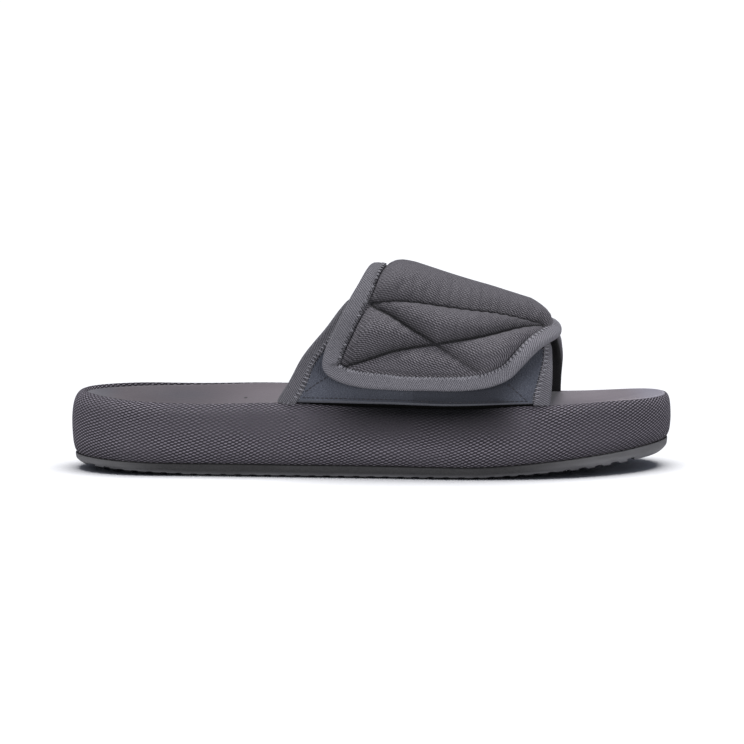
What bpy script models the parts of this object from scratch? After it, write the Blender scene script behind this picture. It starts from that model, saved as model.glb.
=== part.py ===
"""A right-foot slide slipper: a fabric-wrapped sole, a rubber outsole, a contoured insole
and one quilted strap that closes on a tab at the outer side of the foot.

Metres, with +X to the toe, +Y to the inner side of the foot and +Z up. The outsole stands on z = 0.
"""

import math
from collections import namedtuple

import bmesh
import bpy
from mathutils import Vector

MM = 0.001
GAP = 0.3 * MM
LATERAL = -1
MEDIAL = 1

# Plan and side view of the sole
LENGTH = 291 * MM
HEEL_ROUND = 44 * MM
HEEL_POWER = 2.1
TOE_ROUND = 76 * MM
TOE_POWER = 2.2
TOE_SPRING = 8 * MM
TOE_SPRING_START = 50 * MM
TOE_SPRING_POWER = 1.25
HEEL_SPRING = 3.2 * MM
HEEL_SPRING_START = -85 * MM
HEEL_SPRING_POWER = 1.3
RING_STEPS = 36

# Sections of the sole in millimetres, heel to toe: centre line and half width of the plan, rubber
# thickness, height of the wrapped rim on either side, how far the rim rolls inwards, floor of the
# recess, edge of the insole against the rim and depth of the insole's dish.
Section = namedtuple(
    "Section", "x centre half_width rubber rim_lateral rim_medial roll floor bed_edge seat"
)
SECTIONS = (
    Section(-145.5, 0.5, 36.5, 4.8, 38.8, 38.8, 1.30, 25.5, -1.6, 6.0),
    Section(-119, 0.5, 36.5, 5.0, 35.7, 38.6, 1.20, 25.0, -1.6, 8.0),
    Section(-85, -0.3, 37.5, 5.9, 34.4, 38.0, 1.05, 24.5, -1.4, 8.5),
    Section(-46, -2.5, 39.5, 5.9, 35.5, 38.1, 1.00, 24.5, -1.0, 6.5),
    Section(0, -3.5, 44.0, 6.0, 35.6, 35.8, 1.00, 24.5, -0.8, 4.5),
    Section(45, -1.0, 52.0, 5.7, 35.2, 33.6, 1.00, 24.0, -0.6, 4.0),
    Section(85, 2.5, 53.0, 5.9, 35.4, 31.8, 1.00, 23.5, -0.3, 3.0),
    Section(115, 6.5, 51.0, 6.0, 36.4, 32.4, 0.75, 25.5, 0.2, 2.0),
    Section(145.5, 10.5, 48.0, 6.6, 35.6, 35.6, 0.60, 28.5, 0.4, 1.5),
)

# Side of the wrapped midsole: share of its height and inset from the widest line, in millimetres
WallRow = namedtuple("WallRow", "level inset")
WALL = (
    WallRow(0.00, 3.0),
    WallRow(0.05, 1.7),
    WallRow(0.18, 0.6),
    WallRow(0.42, 0.0),
    WallRow(0.62, 0.1),
    WallRow(0.79, 0.7),
    WallRow(0.90, 1.7),
    WallRow(0.97, 3.1),
)
SEAM_INSET = 4.6 * MM

# Side of the outsole: share of its thickness and inset, in millimetres
EdgeRow = namedtuple("EdgeRow", "level inset")
OUTSOLE_EDGE = (
    EdgeRow(0.00, 5.4),
    EdgeRow(0.28, 2.9),
    EdgeRow(0.50, 1.9),
    EdgeRow(0.92, 1.7),
    EdgeRow(1.00, 2.4),
)
GROOVE_PITCH = 7.2 * MM
GROOVE_WIDTH = 2.6 * MM
GROOVE_DEPTH = 1.6 * MM
GROOVE_WAVE = 1.7 * MM
GROOVE_BENDS = 6
GROOVE_FIRST = -136.2 * MM
GROOVE_COUNT = 38

# Insole: rings shrink towards the centre line
BED_RINGS = (0.95, 0.83, 0.62, 0.36, 0.10)
BED_SHORTEN = 0.35
BED_DISH_POWER = 2.4
SLOT_RAMP = 4 * MM
SLOT_PLAY = 1.5 * MM

# Upper: one arch over the foot, from the lateral seam (around = 0) over the ridge (0.5) to the
# medial seam (1)
STRAP_INSET = 8.1 * MM
ARCH_POWER = 2.4
BELLY = 1.5 * MM
SEAM_SINK = 1.0 * MM

# Height of the arch's ridge along the foot, in millimetres
RidgeRow = namedtuple("RidgeRow", "x height")
RIDGE = (
    RidgeRow(-60, 99.0),
    RidgeRow(-20, 96.0),
    RidgeRow(0, 93.5),
    RidgeRow(9, 93.6),
    RidgeRow(18, 91.3),
    RidgeRow(34, 85.8),
    RidgeRow(74, 73.1),
    RidgeRow(84, 68.9),
    RidgeRow(94, 61.5),
)

# Edges of the strap and of the tab in millimetres, by share of the way around the arch
EdgeLine = namedtuple("EdgeLine", "around rear front")
STRAP_EDGES = (
    EdgeLine(0.038, -22.2, 58.4),
    EdgeLine(0.105, -20.5, 67.6),
    EdgeLine(0.180, -14.8, 74.7),
    EdgeLine(0.261, -9.0, 82.2),
    EdgeLine(0.329, -4.6, 86.4),
    EdgeLine(0.420, -0.7, 87.6),
    EdgeLine(0.500, 1.4, 87.4),
    EdgeLine(0.640, 1.6, 89.4),
    EdgeLine(0.820, -9.4, 91.2),
    EdgeLine(1.000, -37.2, 90.6),
)
TAB_EDGES = (
    EdgeLine(0.000, -44.0, 83.2),
    EdgeLine(0.035, -38.2, 83.8),
    EdgeLine(0.092, -31.7, 84.3),
    EdgeLine(0.170, -20.8, 84.2),
    EdgeLine(0.232, -14.3, 84.0),
    EdgeLine(0.286, -8.6, 83.8),
)
FLAP_END = STRAP_EDGES[0].around
TAB_TOP = TAB_EDGES[-1].around

# Rounded corners at the free end of each: reach along the foot and share of the arch
Corner = namedtuple("Corner", "reach rise")
FLAP_REAR_CORNER = Corner(30 * MM, 0.046)
FLAP_FRONT_CORNER = Corner(27 * MM, 0.066)
TAB_REAR_CORNER = Corner(7 * MM, 0.040)
TAB_FRONT_CORNER = Corner(6 * MM, 0.060)

TAB_THICKNESS = 3.0 * MM
PATCH_THICKNESS = 1.0 * MM
PATCH_MARGIN = 1.2 * MM
FLAP_LIFT = 5.6 * MM
LIFT_END = 0.36
LIFT_START = 0.62
PAD_THICKNESS = 6.8 * MM
SEAM_THICKNESS = 2.6 * MM
PAD_REACH = 3.2 * MM
QUILT_REACH = 5.5 * MM

BINDING_WIDTH = 7.4 * MM
BINDING_FOLD = 1.6 * MM
BINDING_HEIGHT = 4.6 * MM
BINDING_WALL = 0.6 * MM
BOUND_LIFT = 1.7 * MM
BOUND_THICKNESS = 1.2 * MM
BOUND_MARGIN = 7.2 * MM
CLEAR_MARGIN = 3 * MM

# Where strap and tab go down between the rim and the insole
TUCK_LIFT = 0.95 * MM
TUCK_THICKNESS = 2.0 * MM
TUCK_FADE = 8 * MM

STRAP_COLUMNS = 18
TAB_COLUMNS = 9
PATCH_COLUMNS = 10
PATCH_ROWS = 9
PATCH_FOOT = 0.006
PATCH_TOP = TAB_TOP - 0.080

# Quilting seams of the flap: x in millimetres and share of the way around
SeamPoint = namedtuple("SeamPoint", "x around")
SeamStep = namedtuple("SeamStep", "step x around")
TOP_SEAM = (
    SeamPoint(0, 0.256),
    SeamPoint(23, 0.276),
    SeamPoint(42, 0.292),
    SeamPoint(60, 0.311),
    SeamPoint(79, 0.325),
)
FORWARD_SEAM = (
    SeamPoint(0, 0.250),
    SeamPoint(15, 0.199),
    SeamPoint(30, 0.159),
    SeamPoint(50, 0.096),
)
BACKWARD_SEAM = (
    SeamPoint(79, 0.316),
    SeamPoint(57, 0.220),
    SeamPoint(33, 0.162),
    SeamPoint(-14, 0.074),
)


def read_table(rows, column, key):
    keys = [row[0] for row in rows]
    values = [getattr(row, column) for row in rows]
    last = len(keys) - 1
    key = min(max(key, keys[0]), keys[last])
    k = max(i for i in range(last) if keys[i] <= key)
    slopes = []
    for i in (k, k + 1):
        low, high = max(i - 1, 0), min(i + 1, last)
        slopes.append((values[high] - values[low]) / (keys[high] - keys[low]))
    span = keys[k + 1] - keys[k]
    t = (key - keys[k]) / span
    rise = values[k + 1] - values[k]
    bend = (1 - t) * slopes[0] * span - t * slopes[1] * span + (2 * t - 1) * rise
    return values[k] + t * rise + t * (1 - t) * bend


def section(column, x):
    return MM * read_table(SECTIONS, column, x / MM)


def ease(value, low, high):
    t = min(max((value - low) / (high - low), 0), 1)
    return t * t * (3 - 2 * t)


def end_round(x):
    heel = 1 - (x + LENGTH / 2) / HEEL_ROUND
    toe = 1 - (LENGTH / 2 - x) / TOE_ROUND
    reach, power = (heel, HEEL_POWER) if heel > toe else (toe, TOE_POWER)
    reach = min(max(reach, 0), 1)
    return (1 - reach**power) ** (1 / power)


def side_y(x, side):
    return section("centre", x) + side * section("half_width", x) * end_round(x)


def plan_point(turn):
    x = -LENGTH / 2 * math.cos(2 * math.pi * turn)
    side = LATERAL if turn % 1 < 0.5 else MEDIAL
    return Vector((x, side_y(x, side)))


def inset_point(turn, inset):
    step = 0.0005
    tangent = (plan_point(turn + step) - plan_point(turn - step)).normalized()
    return plan_point(turn) + inset * Vector((-tangent.y, tangent.x))


def across(x, y):
    return (y - section("centre", x)) / section("half_width", x)


def rim_height(x, y):
    share = (1 + across(x, y)) / 2
    return section("rim_lateral", x) * (1 - share) + section("rim_medial", x) * share


def underside(x):
    forward = max(x - TOE_SPRING_START, 0) / (LENGTH / 2 - TOE_SPRING_START)
    back = max(HEEL_SPRING_START - x, 0) / (LENGTH / 2 + HEEL_SPRING_START)
    return TOE_SPRING * forward**TOE_SPRING_POWER + HEEL_SPRING * back**HEEL_SPRING_POWER


def rubber_top(x):
    return underside(x) + section("rubber", x)


def seam_inset(x):
    return SEAM_INSET * section("roll", x) / MM


def ring_turns():
    half = [k / (2 * RING_STEPS) for k in range(RING_STEPS + 1)]
    for side in (LATERAL, MEDIAL):
        rear, front = slot_ends(side)
        for x in (rear - SLOT_RAMP, rear, front, front + SLOT_RAMP):
            half.append(math.acos(-2 * x / LENGTH) / (2 * math.pi))
    half.sort()
    return half + [1 - turn for turn in half[-2:0:-1]]


def ring(inset, height):
    points = []
    for turn in ring_turns():
        side = LATERAL if turn < 0.5 else MEDIAL
        point = inset_point(turn, inset(plan_point(turn).x, side))
        points.append(Vector((point.x, point.y, height(point.x, point.y))))
    return points


def edge_x(rows, column, around):
    return MM * read_table(rows, column, around)


def strap_edge(column, around):
    corner = FLAP_REAR_CORNER if column == "rear" else FLAP_FRONT_CORNER
    x = edge_x(STRAP_EDGES, column, around)
    return x + rounding(corner, around - STRAP_EDGES[0].around) * (1 if column == "rear" else -1)


def tab_edge(column, around):
    corner = TAB_REAR_CORNER if column == "rear" else TAB_FRONT_CORNER
    x = edge_x(TAB_EDGES, column, around)
    return x + rounding(corner, TAB_EDGES[-1].around - around) * (1 if column == "rear" else -1)


def rounding(corner, distance):
    t = 1 - min(max(distance / corner.rise, 0), 1)
    return corner.reach * (1 - math.sqrt(1 - t * t))


def strap_foot(x, side):
    step = 0.5 * MM
    slope = (side_y(x + step, side) - side_y(x - step, side)) / (2 * step)
    return side_y(x, side) - side * STRAP_INSET * math.hypot(1, slope)


def arch(x, around):
    lateral, medial = strap_foot(x, LATERAL), strap_foot(x, MEDIAL)
    angle = math.pi * min(max(around, 0), 1)
    cosine, sine = math.cos(angle), math.sin(angle)
    wide = math.copysign(abs(cosine) ** (2 / ARCH_POWER), cosine)
    rim = rim_height(x, lateral) * (1 + wide) / 2 + rim_height(x, medial) * (1 - wide) / 2
    foot = rim - SEAM_SINK
    ridge = MM * read_table(RIDGE, "height", x / MM)
    y = (lateral + medial) / 2 - wide * ((medial - lateral) / 2 + BELLY * math.sin(2 * angle) ** 2)
    z = foot + (ridge - foot) * max(sine, 0) ** (2 / ARCH_POWER)
    tuck = max(-around, around - 1, 0)
    return Vector((x, y, z - tuck * (foot - section("floor", x) - 2 * GAP)))


def arch_normal(x, around):
    step = 0.004
    forward = arch(x + MM, around) - arch(x - MM, around)
    upward = arch(x, around + step) - arch(x, around - step)
    return forward.cross(upward).normalized()


def lifted(x, around, lift):
    return arch(x, around) + lift * arch_normal(x, around)


def polyline_distance(point, line):
    best = math.inf
    for start, end in zip(line, line[1:]):
        run = end - start
        t = min(max((point - start).dot(run) / run.length_squared, 0), 1)
        best = min(best, (point - start - t * run).length)
    return best


def seam_line(seam, steps=14):
    line = []
    rows = [SeamStep(i, point.x, point.around) for i, point in enumerate(seam)]
    for k in range(steps + 1):
        t = k * (len(seam) - 1) / steps
        line.append(arch(MM * read_table(rows, "x", t), read_table(rows, "around", t)))
    return line


def spread(start, end, count, power=1):
    return [start + (end - start) * (k / count) ** power for k in range(count + 1)]


def columns_between(rear, front, count):
    inner = spread(rear + BOUND_MARGIN + CLEAR_MARGIN, front - BOUND_MARGIN - CLEAR_MARGIN, count)
    return [rear, rear + BOUND_MARGIN] + inner + [front - BOUND_MARGIN, front]


STRAP_ROWS = spread(FLAP_END, 1, 26, 1.8) + [2]
TAB_ROWS = [-1, 0] + [TAB_TOP - a for a in spread(TAB_TOP - 0.012, 0, 11, 1.3)]


def strap_x(around):
    around = min(around, 1)
    return columns_between(strap_edge("rear", around), strap_edge("front", around), STRAP_COLUMNS)


def tab_x(around):
    around = max(around, 0)
    return columns_between(tab_edge("rear", around), tab_edge("front", around), TAB_COLUMNS)


def strap_border():
    arounds = [a for a in reversed(STRAP_ROWS) if a <= 1]
    border = [(strap_edge("rear", a), a) for a in arounds]
    border += [(x, FLAP_END) for x in strap_x(FLAP_END)[1:-1]]
    border += [(strap_edge("front", a), a) for a in reversed(arounds)]
    return border


def tab_border():
    arounds = [a for a in TAB_ROWS if a >= 0]
    border = [(tab_edge("front", a), a) for a in arounds]
    border += [(x, TAB_TOP) for x in reversed(tab_x(TAB_TOP)[1:-1])]
    border += [(tab_edge("rear", a), a) for a in reversed(arounds)]
    return border


def strap_lift(around):
    return FLAP_LIFT * (1 - ease(around, LIFT_END, LIFT_START))


def seam_clearance(x, around):
    point = arch(x, around)
    return point.z - rim_height(x, point.y)


def sheet_layers(x, around, lift, thickness, border):
    inside = polyline_distance(arch(x, around), border) - BINDING_WIDTH + BINDING_FOLD
    free = ease(inside, 1.6 * MM, 3.2 * MM)
    rooted = 1 - ease(seam_clearance(x, around), 0.5 * MM, TUCK_FADE)
    low = lift + BOUND_LIFT * (1 - free)
    deep = BOUND_THICKNESS + (thickness - BOUND_THICKNESS) * free
    return low + (TUCK_LIFT - low) * rooted, deep + (TUCK_THICKNESS - deep) * rooted


def strap_layers(x, around, border, seams):
    point = arch(x, around)
    inside = max(polyline_distance(point, border) - BINDING_WIDTH + BINDING_FOLD - 1.2 * MM, 0)
    swell = 1 - math.exp(-inside / PAD_REACH)
    for seam in seams:
        swell *= 1 - math.exp(-(polyline_distance(point, seam) / QUILT_REACH) ** 1.2)
    thickness = SEAM_THICKNESS + (PAD_THICKNESS - SEAM_THICKNESS) * swell
    return sheet_layers(x, around, strap_lift(around), thickness, border)


def finish(name, bm, material, closed=True):
    if closed:
        bmesh.ops.recalc_face_normals(bm, faces=bm.faces)
    mesh = bpy.data.meshes.new(name)
    bm.to_mesh(mesh)
    bm.free()
    if material:
        mesh.materials.append(material)
    piece = bpy.data.objects.new(name, mesh)
    mesh.shade_smooth()
    mesh.set_sharp_from_angle(angle=math.radians(38))
    return piece


def extrude_to(bm, face, points):
    face = bmesh.ops.extrude_discrete_faces(bm, faces=[face])["faces"][0]
    for vert, point in zip(face.verts, points):
        vert.co = point
    return face


def loft(sections):
    bm = bmesh.new()
    circle = bmesh.ops.create_circle(bm, cap_ends=True, segments=len(sections[0]), radius=LENGTH)
    face = circle["verts"][0].link_faces[0]
    first = list(face.verts)
    for vert, point in zip(first, sections[0]):
        vert.co = point
    for points in sections[1:]:
        face = extrude_to(bm, face, points)
    bmesh.ops.holes_fill(bm, edges=bm.edges, sides=0)
    return bm, first, list(face.verts)


def ring_solid(name, rings, material):
    bm, first, last = loft(rings)
    for loop in (first, last):
        for i in range(1, len(loop) // 2):
            bmesh.ops.connect_verts(bm, verts=[loop[i], loop[-i]])
    return finish(name, bm, material)


def sheet(name, rows, columns, layers, material, thickest):
    bm = bmesh.new()
    wide = len(columns(rows[0])) - 1
    tall = len(rows) - 1
    bmesh.ops.create_grid(bm, x_segments=wide, y_segments=tall, size=0.5)
    bm.verts.index_update()
    weights = {}
    for vert in bm.verts:
        i = round((vert.co.x + 0.5) * wide)
        j = round((vert.co.y + 0.5) * tall)
        x = columns(rows[j])[i]
        low, deep = layers(x, rows[j])
        vert.co = lifted(x, rows[j], low)
        weights[vert.index] = deep / thickest
    piece = finish(name, bm, material, closed=False)
    padding = piece.vertex_groups.new(name="padding")
    for index, weight in weights.items():
        padding.add([index], weight, "REPLACE")
    wall = piece.modifiers.new("wall", "SOLIDIFY")
    wall.thickness = thickest
    wall.offset = 1
    wall.vertex_group = padding.name
    wall.thickness_vertex_group = 0
    return piece


def binding_profile():
    width, height, wall = BINDING_WIDTH, BINDING_HEIGHT, BINDING_WALL
    return (
        (width, 0),
        (1.0 * MM, 0),
        (0, 1.3 * MM),
        (0, height - 1.3 * MM),
        (1.0 * MM, height),
        (width, height),
        (width, height - wall),
        (1.3 * MM, height - wall),
        (1.3 * MM, wall),
        (width, wall),
    )


def slide(x, around, shift):
    forward = (arch(x + MM, around) - arch(x - MM, around)) / (2 * MM)
    upward = (arch(x, around + 0.002) - arch(x, around - 0.002)) / 0.004
    cross = forward.dot(upward)
    area = forward.length_squared * upward.length_squared - cross * cross
    along, rise = shift.dot(forward), shift.dot(upward)
    return (
        x + (along * upward.length_squared - rise * cross) / area,
        around + (rise * forward.length_squared - along * cross) / area,
    )


def binding(name, border, lift, material):
    points = [lifted(x, around, lift(around)) for x, around in border]
    sections = []
    for k, (x, around) in enumerate(border):
        before, after = points[max(k - 1, 0)], points[min(k + 1, len(points) - 1)]
        tangent = (after - before).normalized()
        outward = tangent.cross(arch_normal(x, around)).normalized()
        outline = []
        for inward, height in binding_profile():
            x_there, around_there = slide(x, around, outward * (BINDING_FOLD - inward))
            outline.append(lifted(x_there, around_there, lift(around_there) + height))
        if k in (0, len(border) - 1):
            level = rim_height(x, points[k].y) + 1.5 * GAP
            outline = [p + tangent * ((level - p.z) / tangent.z) for p in outline]
        sections.append(outline)
    return finish(name, loft(sections)[0], material)


def make_material(name, color, roughness):
    material = bpy.data.materials.new(name)
    material.use_nodes = True
    shader = material.node_tree.nodes["Principled BSDF"]
    shader.inputs["Base Color"].default_value = (*color, 1)
    shader.inputs["Roughness"].default_value = roughness
    return material


def make_outsole(material):
    rings = []
    for row in OUTSOLE_EDGE:
        rings.append(
            ring(
                lambda x, side: row.inset * MM,
                lambda x, y: underside(x) + row.level * section("rubber", x),
            )
        )
    return ring_solid("outsole", rings, material)


def make_groove_cutter():
    bm = bmesh.new()
    for k in range(GROOVE_COUNT):
        start = GROOVE_FIRST + k * GROOVE_PITCH
        verts = bmesh.ops.create_grid(bm, x_segments=1, y_segments=GROOVE_BENDS, size=0.5)["verts"]
        for vert in verts:
            bend = round((vert.co.y + 0.5) * GROOVE_BENDS)
            x = start + vert.co.x * GROOVE_WIDTH + GROOVE_WAVE * (-1) ** bend
            vert.co = Vector((x, vert.co.y * 140 * MM, underside(x) - MM))
        faces = list({face for vert in verts for face in vert.link_faces})
        top = bmesh.ops.extrude_face_region(bm, geom=faces)["geom"]
        raised = [part for part in top if isinstance(part, bmesh.types.BMVert)]
        bmesh.ops.translate(bm, vec=(0, 0, MM + GROOVE_DEPTH), verts=raised)
    return finish("groove_cutter", bm, None)


def make_midsole(material):
    rings = []
    for row in WALL:
        rings.append(
            ring(
                lambda x, side: row.inset * (section("roll", x) if row.level > 0.5 else MM),
                lambda x, y: rubber_top(x) + GAP + row.level * (rim_height(x, y) - rubber_top(x) - GAP),
            )
        )
    rings.append(ring(lambda x, side: seam_inset(x), rim_height))
    rings.append(ring(lambda x, side: seam_inset(x) + 0.1 * MM, lambda x, y: section("floor", x)))
    return ring_solid("midsole", rings, material)


def slot_ends(side):
    if side == LATERAL:
        return tab_edge("rear", 0) - SLOT_PLAY, tab_edge("front", 0) + SLOT_PLAY
    return strap_edge("rear", 1) - SLOT_PLAY, strap_edge("front", 1) + SLOT_PLAY


def bed_inset(x, side):
    rear, front = slot_ends(side)
    slot = ease(x, rear - SLOT_RAMP, rear) * (1 - ease(x, front, front + SLOT_RAMP))
    closed = seam_inset(x) + GAP + 0.1 * MM
    opened = STRAP_INSET - TUCK_LIFT + 1.4 * GAP
    return closed * (1 - slot) + opened * slot


def bed_height(x, y, shrink):
    dish = section("seat", x) * (1 - shrink**BED_DISH_POWER)
    return rim_height(x, y) + section("bed_edge", x) - dish


def shrunk(points, shrink):
    ring_points = []
    for point in points:
        x = point.x * (1 - BED_SHORTEN * (1 - shrink))
        y = section("centre", x) + (point.y - section("centre", point.x)) * shrink
        ring_points.append(Vector((x, y, bed_height(x, y, shrink))))
    return ring_points


def make_insole(material):
    edge = 0.9 * MM
    rings = [
        ring(bed_inset, lambda x, y: section("floor", x) + GAP),
        ring(bed_inset, lambda x, y: bed_height(x, y, 1) - edge),
        ring(lambda x, side: bed_inset(x, side) + edge, lambda x, y: bed_height(x, y, 1)),
    ]
    rings += [shrunk(rings[-1], shrink) for shrink in BED_RINGS]
    return ring_solid("insole", rings, material)


def make_strap(material):
    border = [arch(x, around) for x, around in strap_border()]
    seams = [seam_line(seam) for seam in (TOP_SEAM, FORWARD_SEAM, BACKWARD_SEAM)]

    def layers(x, around):
        return strap_layers(x, around, border, seams)

    return sheet("strap", STRAP_ROWS, strap_x, layers, material, PAD_THICKNESS)


def make_tab(material):
    border = [arch(x, around) for x, around in tab_border()]

    def layers(x, around):
        return sheet_layers(x, around, 0, TAB_THICKNESS, border)

    return sheet("closure_tab", TAB_ROWS, tab_x, layers, material, TAB_THICKNESS)


def make_patch(material):
    margin = BINDING_WIDTH - BINDING_FOLD + PATCH_MARGIN

    def columns(around):
        rear, front = tab_edge("rear", around), tab_edge("front", around)
        return spread(rear + 1.15 * margin, front - margin, PATCH_COLUMNS)

    def layers(x, around):
        return TAB_THICKNESS + 1.5 * GAP, PATCH_THICKNESS

    rows = spread(PATCH_FOOT, PATCH_TOP, PATCH_ROWS)
    return sheet("loop_patch", rows, columns, layers, material, PATCH_THICKNESS)


for old in list(bpy.data.objects):
    bpy.data.objects.remove(old)

slipper = bpy.data.collections.new("slide_slipper")
cutters = bpy.data.collections.new("cutters")
bpy.context.scene.collection.children.link(slipper)
bpy.context.scene.collection.children.link(cutters)

rubber = make_material("outsole_rubber", (0.035, 0.037, 0.038), 0.75)
wrap = make_material("sole_wrap", (0.085, 0.075, 0.09), 0.85)
footbed = make_material("footbed", (0.26, 0.23, 0.26), 0.9)
nylon = make_material("strap_nylon", (0.1, 0.09, 0.105), 0.85)
tape = make_material("binding_tape", (0.15, 0.14, 0.155), 0.8)
tab_fabric = make_material("tab_fabric", (0.1, 0.095, 0.11), 0.85)
loop = make_material("loop_fabric", (0.08, 0.085, 0.115), 0.95)

outsole = make_outsole(rubber)
pieces = [
    outsole,
    make_midsole(wrap),
    make_insole(footbed),
    make_strap(nylon),
    binding("strap_binding", strap_border(), strap_lift, tape),
    make_tab(tab_fabric),
    binding("tab_binding", tab_border(), lambda around: 0, tape),
    make_patch(loop),
]
for piece in pieces:
    slipper.objects.link(piece)

cutter = make_groove_cutter()
cutters.objects.link(cutter)
cutter.hide_render = True
cutter.display_type = "WIRE"
tread = outsole.modifiers.new("tread", "BOOLEAN")
tread.operation = "DIFFERENCE"
tread.solver = "EXACT"
tread.object = cutter
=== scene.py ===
import math

import bmesh
import bpy
import numpy as np
from mathutils import Matrix, Vector


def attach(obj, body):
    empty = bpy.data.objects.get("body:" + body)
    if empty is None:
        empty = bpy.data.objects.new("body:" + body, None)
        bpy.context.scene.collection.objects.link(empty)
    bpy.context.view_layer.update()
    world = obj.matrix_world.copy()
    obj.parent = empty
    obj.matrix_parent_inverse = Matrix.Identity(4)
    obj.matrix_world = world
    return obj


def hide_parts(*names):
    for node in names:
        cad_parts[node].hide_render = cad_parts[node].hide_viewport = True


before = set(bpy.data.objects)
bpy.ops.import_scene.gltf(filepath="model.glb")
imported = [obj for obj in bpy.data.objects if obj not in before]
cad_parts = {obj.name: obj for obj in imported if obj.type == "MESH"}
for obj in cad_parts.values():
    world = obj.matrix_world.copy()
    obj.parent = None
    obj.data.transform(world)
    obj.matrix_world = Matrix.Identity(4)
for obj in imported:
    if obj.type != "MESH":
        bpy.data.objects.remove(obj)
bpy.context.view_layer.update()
mm = 0.001  # the shapes below are worked out in millimetres
weldDistance = 0.01
print("frame loaded:", ", ".join(sorted(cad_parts)))


# curves and tables
def smoothTable(keys, values, at):
    keys = np.asarray(keys, float)
    values = np.asarray(values, float)
    at = np.clip(at, keys[0], keys[-1])
    slopes = np.empty_like(values)
    slopes[1:-1] = (values[2:] - values[:-2]) / (keys[2:] - keys[:-2])
    slopes[0] = (values[1] - values[0]) / (keys[1] - keys[0])
    slopes[-1] = (values[-1] - values[-2]) / (keys[-1] - keys[-2])
    k = np.clip(np.searchsorted(keys, at, side="right") - 1, 0, len(keys) - 2)
    span = keys[k + 1] - keys[k]
    t = (at - keys[k]) / span
    rise = values[k + 1] - values[k]
    bend = (1 - t) * slopes[k] * span - t * slopes[k + 1] * span + (2 * t - 1) * rise
    return values[k] + t * rise + t * (1 - t) * bend


def ease(value, low, high):
    t = np.clip((value - low) / (high - low), 0, 1)
    return t * t * (3 - 2 * t)


def within(value, low, full, fading, high):
    # 1 from full to fading, 0 outside low and high
    return ease(value, low, full) * (1 - ease(value, fading, high))


def unit(vectors):
    return vectors / np.maximum(np.linalg.norm(vectors, axis=-1, keepdims=True), 1e-12)


def runningLength(steps, axis=0):
    start = np.zeros_like(np.take(steps, [0], axis=axis))
    return np.concatenate([start, np.cumsum(steps, axis=axis)], axis=axis)


def gridValue(field, s, t):
    # the value between the points of a grid
    i = np.minimum(s.astype(int), field.shape[0] - 2)
    j = np.minimum(t.astype(int), field.shape[1] - 2)
    s, t = s - i, t - j
    if field.ndim == 3:
        s, t = s[:, None], t[:, None]
    low = field[i, j] * (1 - s) + field[i + 1, j] * s
    high = field[i, j + 1] * (1 - s) + field[i + 1, j + 1] * s
    return low * (1 - t) + high * t


def ripple(u, v, size):
    # gentle waves about so many millimetres long
    u, v = u / size, v / size
    long = np.sin(1.7 * u + 0.6 * v + 1.3) + np.sin(0.9 * u - 1.9 * v + 0.4)
    short = np.sin(3.1 * u + 2.3 * v + 2.2) + np.sin(-2.7 * u + 3.7 * v + 5.1)
    return 0.33 * long + 0.17 * short


def lineDistance(points, line):
    # how far each point is from a line of points, and how far along it the nearest place lies
    nearest = np.full(len(points), 1e9)
    along = np.zeros(len(points))
    passed = 0.0
    for start, end in zip(line[:-1], line[1:]):
        run = end - start
        length = np.linalg.norm(run)
        t = np.clip((points - start) @ run / length**2, 0, 1)
        distance = np.linalg.norm(points - start - t[:, None] * run, axis=1)
        closer = distance < nearest
        nearest = np.where(closer, distance, nearest)
        along = np.where(closer, passed + t * length, along)
        passed += length
    return nearest, along


# the sole's plan and heights, heel to toe
sole = {
    "length": 291.0,
    "heelRound": 44.0,
    "heelPower": 2.1,
    "toeRound": 76.0,
    "toePower": 2.2,
    "toeSpring": (8.0, 50.0, 1.25),  # rise, from so far off the middle, power
    "heelSpring": (3.2, 85.0, 1.3),
    "seamInset": 4.6,
    "stations": [-145.5, -119, -85, -46, 0, 45, 85, 115, 145.5],
    "centre": [0.5, 0.5, -0.3, -2.5, -3.5, -1.0, 2.5, 6.5, 10.5],
    "halfWidth": [36.5, 36.5, 37.5, 39.5, 44.0, 52.0, 53.0, 51.0, 48.0],
    "rubber": [4.8, 5.0, 5.9, 5.9, 6.0, 5.7, 5.9, 6.0, 6.6],
    "rimLateral": [38.8, 35.7, 34.4, 35.5, 35.6, 35.2, 35.4, 36.4, 35.6],
    "rimMedial": [38.8, 38.6, 38.0, 38.1, 35.8, 33.6, 31.8, 32.4, 35.6],
    "roll": [1.30, 1.20, 1.05, 1.00, 1.00, 1.00, 1.00, 0.70, 0.50],
    "floor": [25.5, 25.0, 24.5, 24.5, 24.5, 24.0, 23.5, 25.5, 28.5],
    "bedEdge": [-1.6, -1.6, -0.7, -0.1, -0.3, -0.4, -0.2, 0.2, 0.4],
    "seat": [6.0, 8.0, 8.5, 6.5, 4.5, 4.0, 3.0, 2.0, 1.5],
    "around": 560,  # faces round the outline
    "capRows": 4,
    "gap": 0.3,
}
half = sole["length"] / 2
gap, capRows = sole["gap"], sole["capRows"]
lateral, medial = -1, 1


def soleAt(column, x):
    return smoothTable(sole["stations"], sole[column], x)


def sideY(x, side):
    heel = 1 - (x + half) / sole["heelRound"]
    toe = 1 - (half - x) / sole["toeRound"]
    reach = np.clip(np.maximum(heel, toe), 0, 1)
    power = np.where(heel > toe, sole["heelPower"], sole["toePower"])
    return soleAt("centre", x) + side * soleAt("halfWidth", x) * (1 - reach**power) ** (1 / power)


def planPoint(turn):
    x = -half * np.cos(2 * math.pi * turn)
    side = np.where(turn % 1 < 0.5, lateral, medial)
    return np.stack([x, sideY(x, side)], axis=-1)


def insetPoint(turn, inset):
    step = 0.0005
    tangent = unit(planPoint(turn + step) - planPoint(turn - step))
    inward = np.stack([-tangent[:, 1], tangent[:, 0]], axis=-1)
    return planPoint(turn) + inset[:, None] * inward


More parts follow.
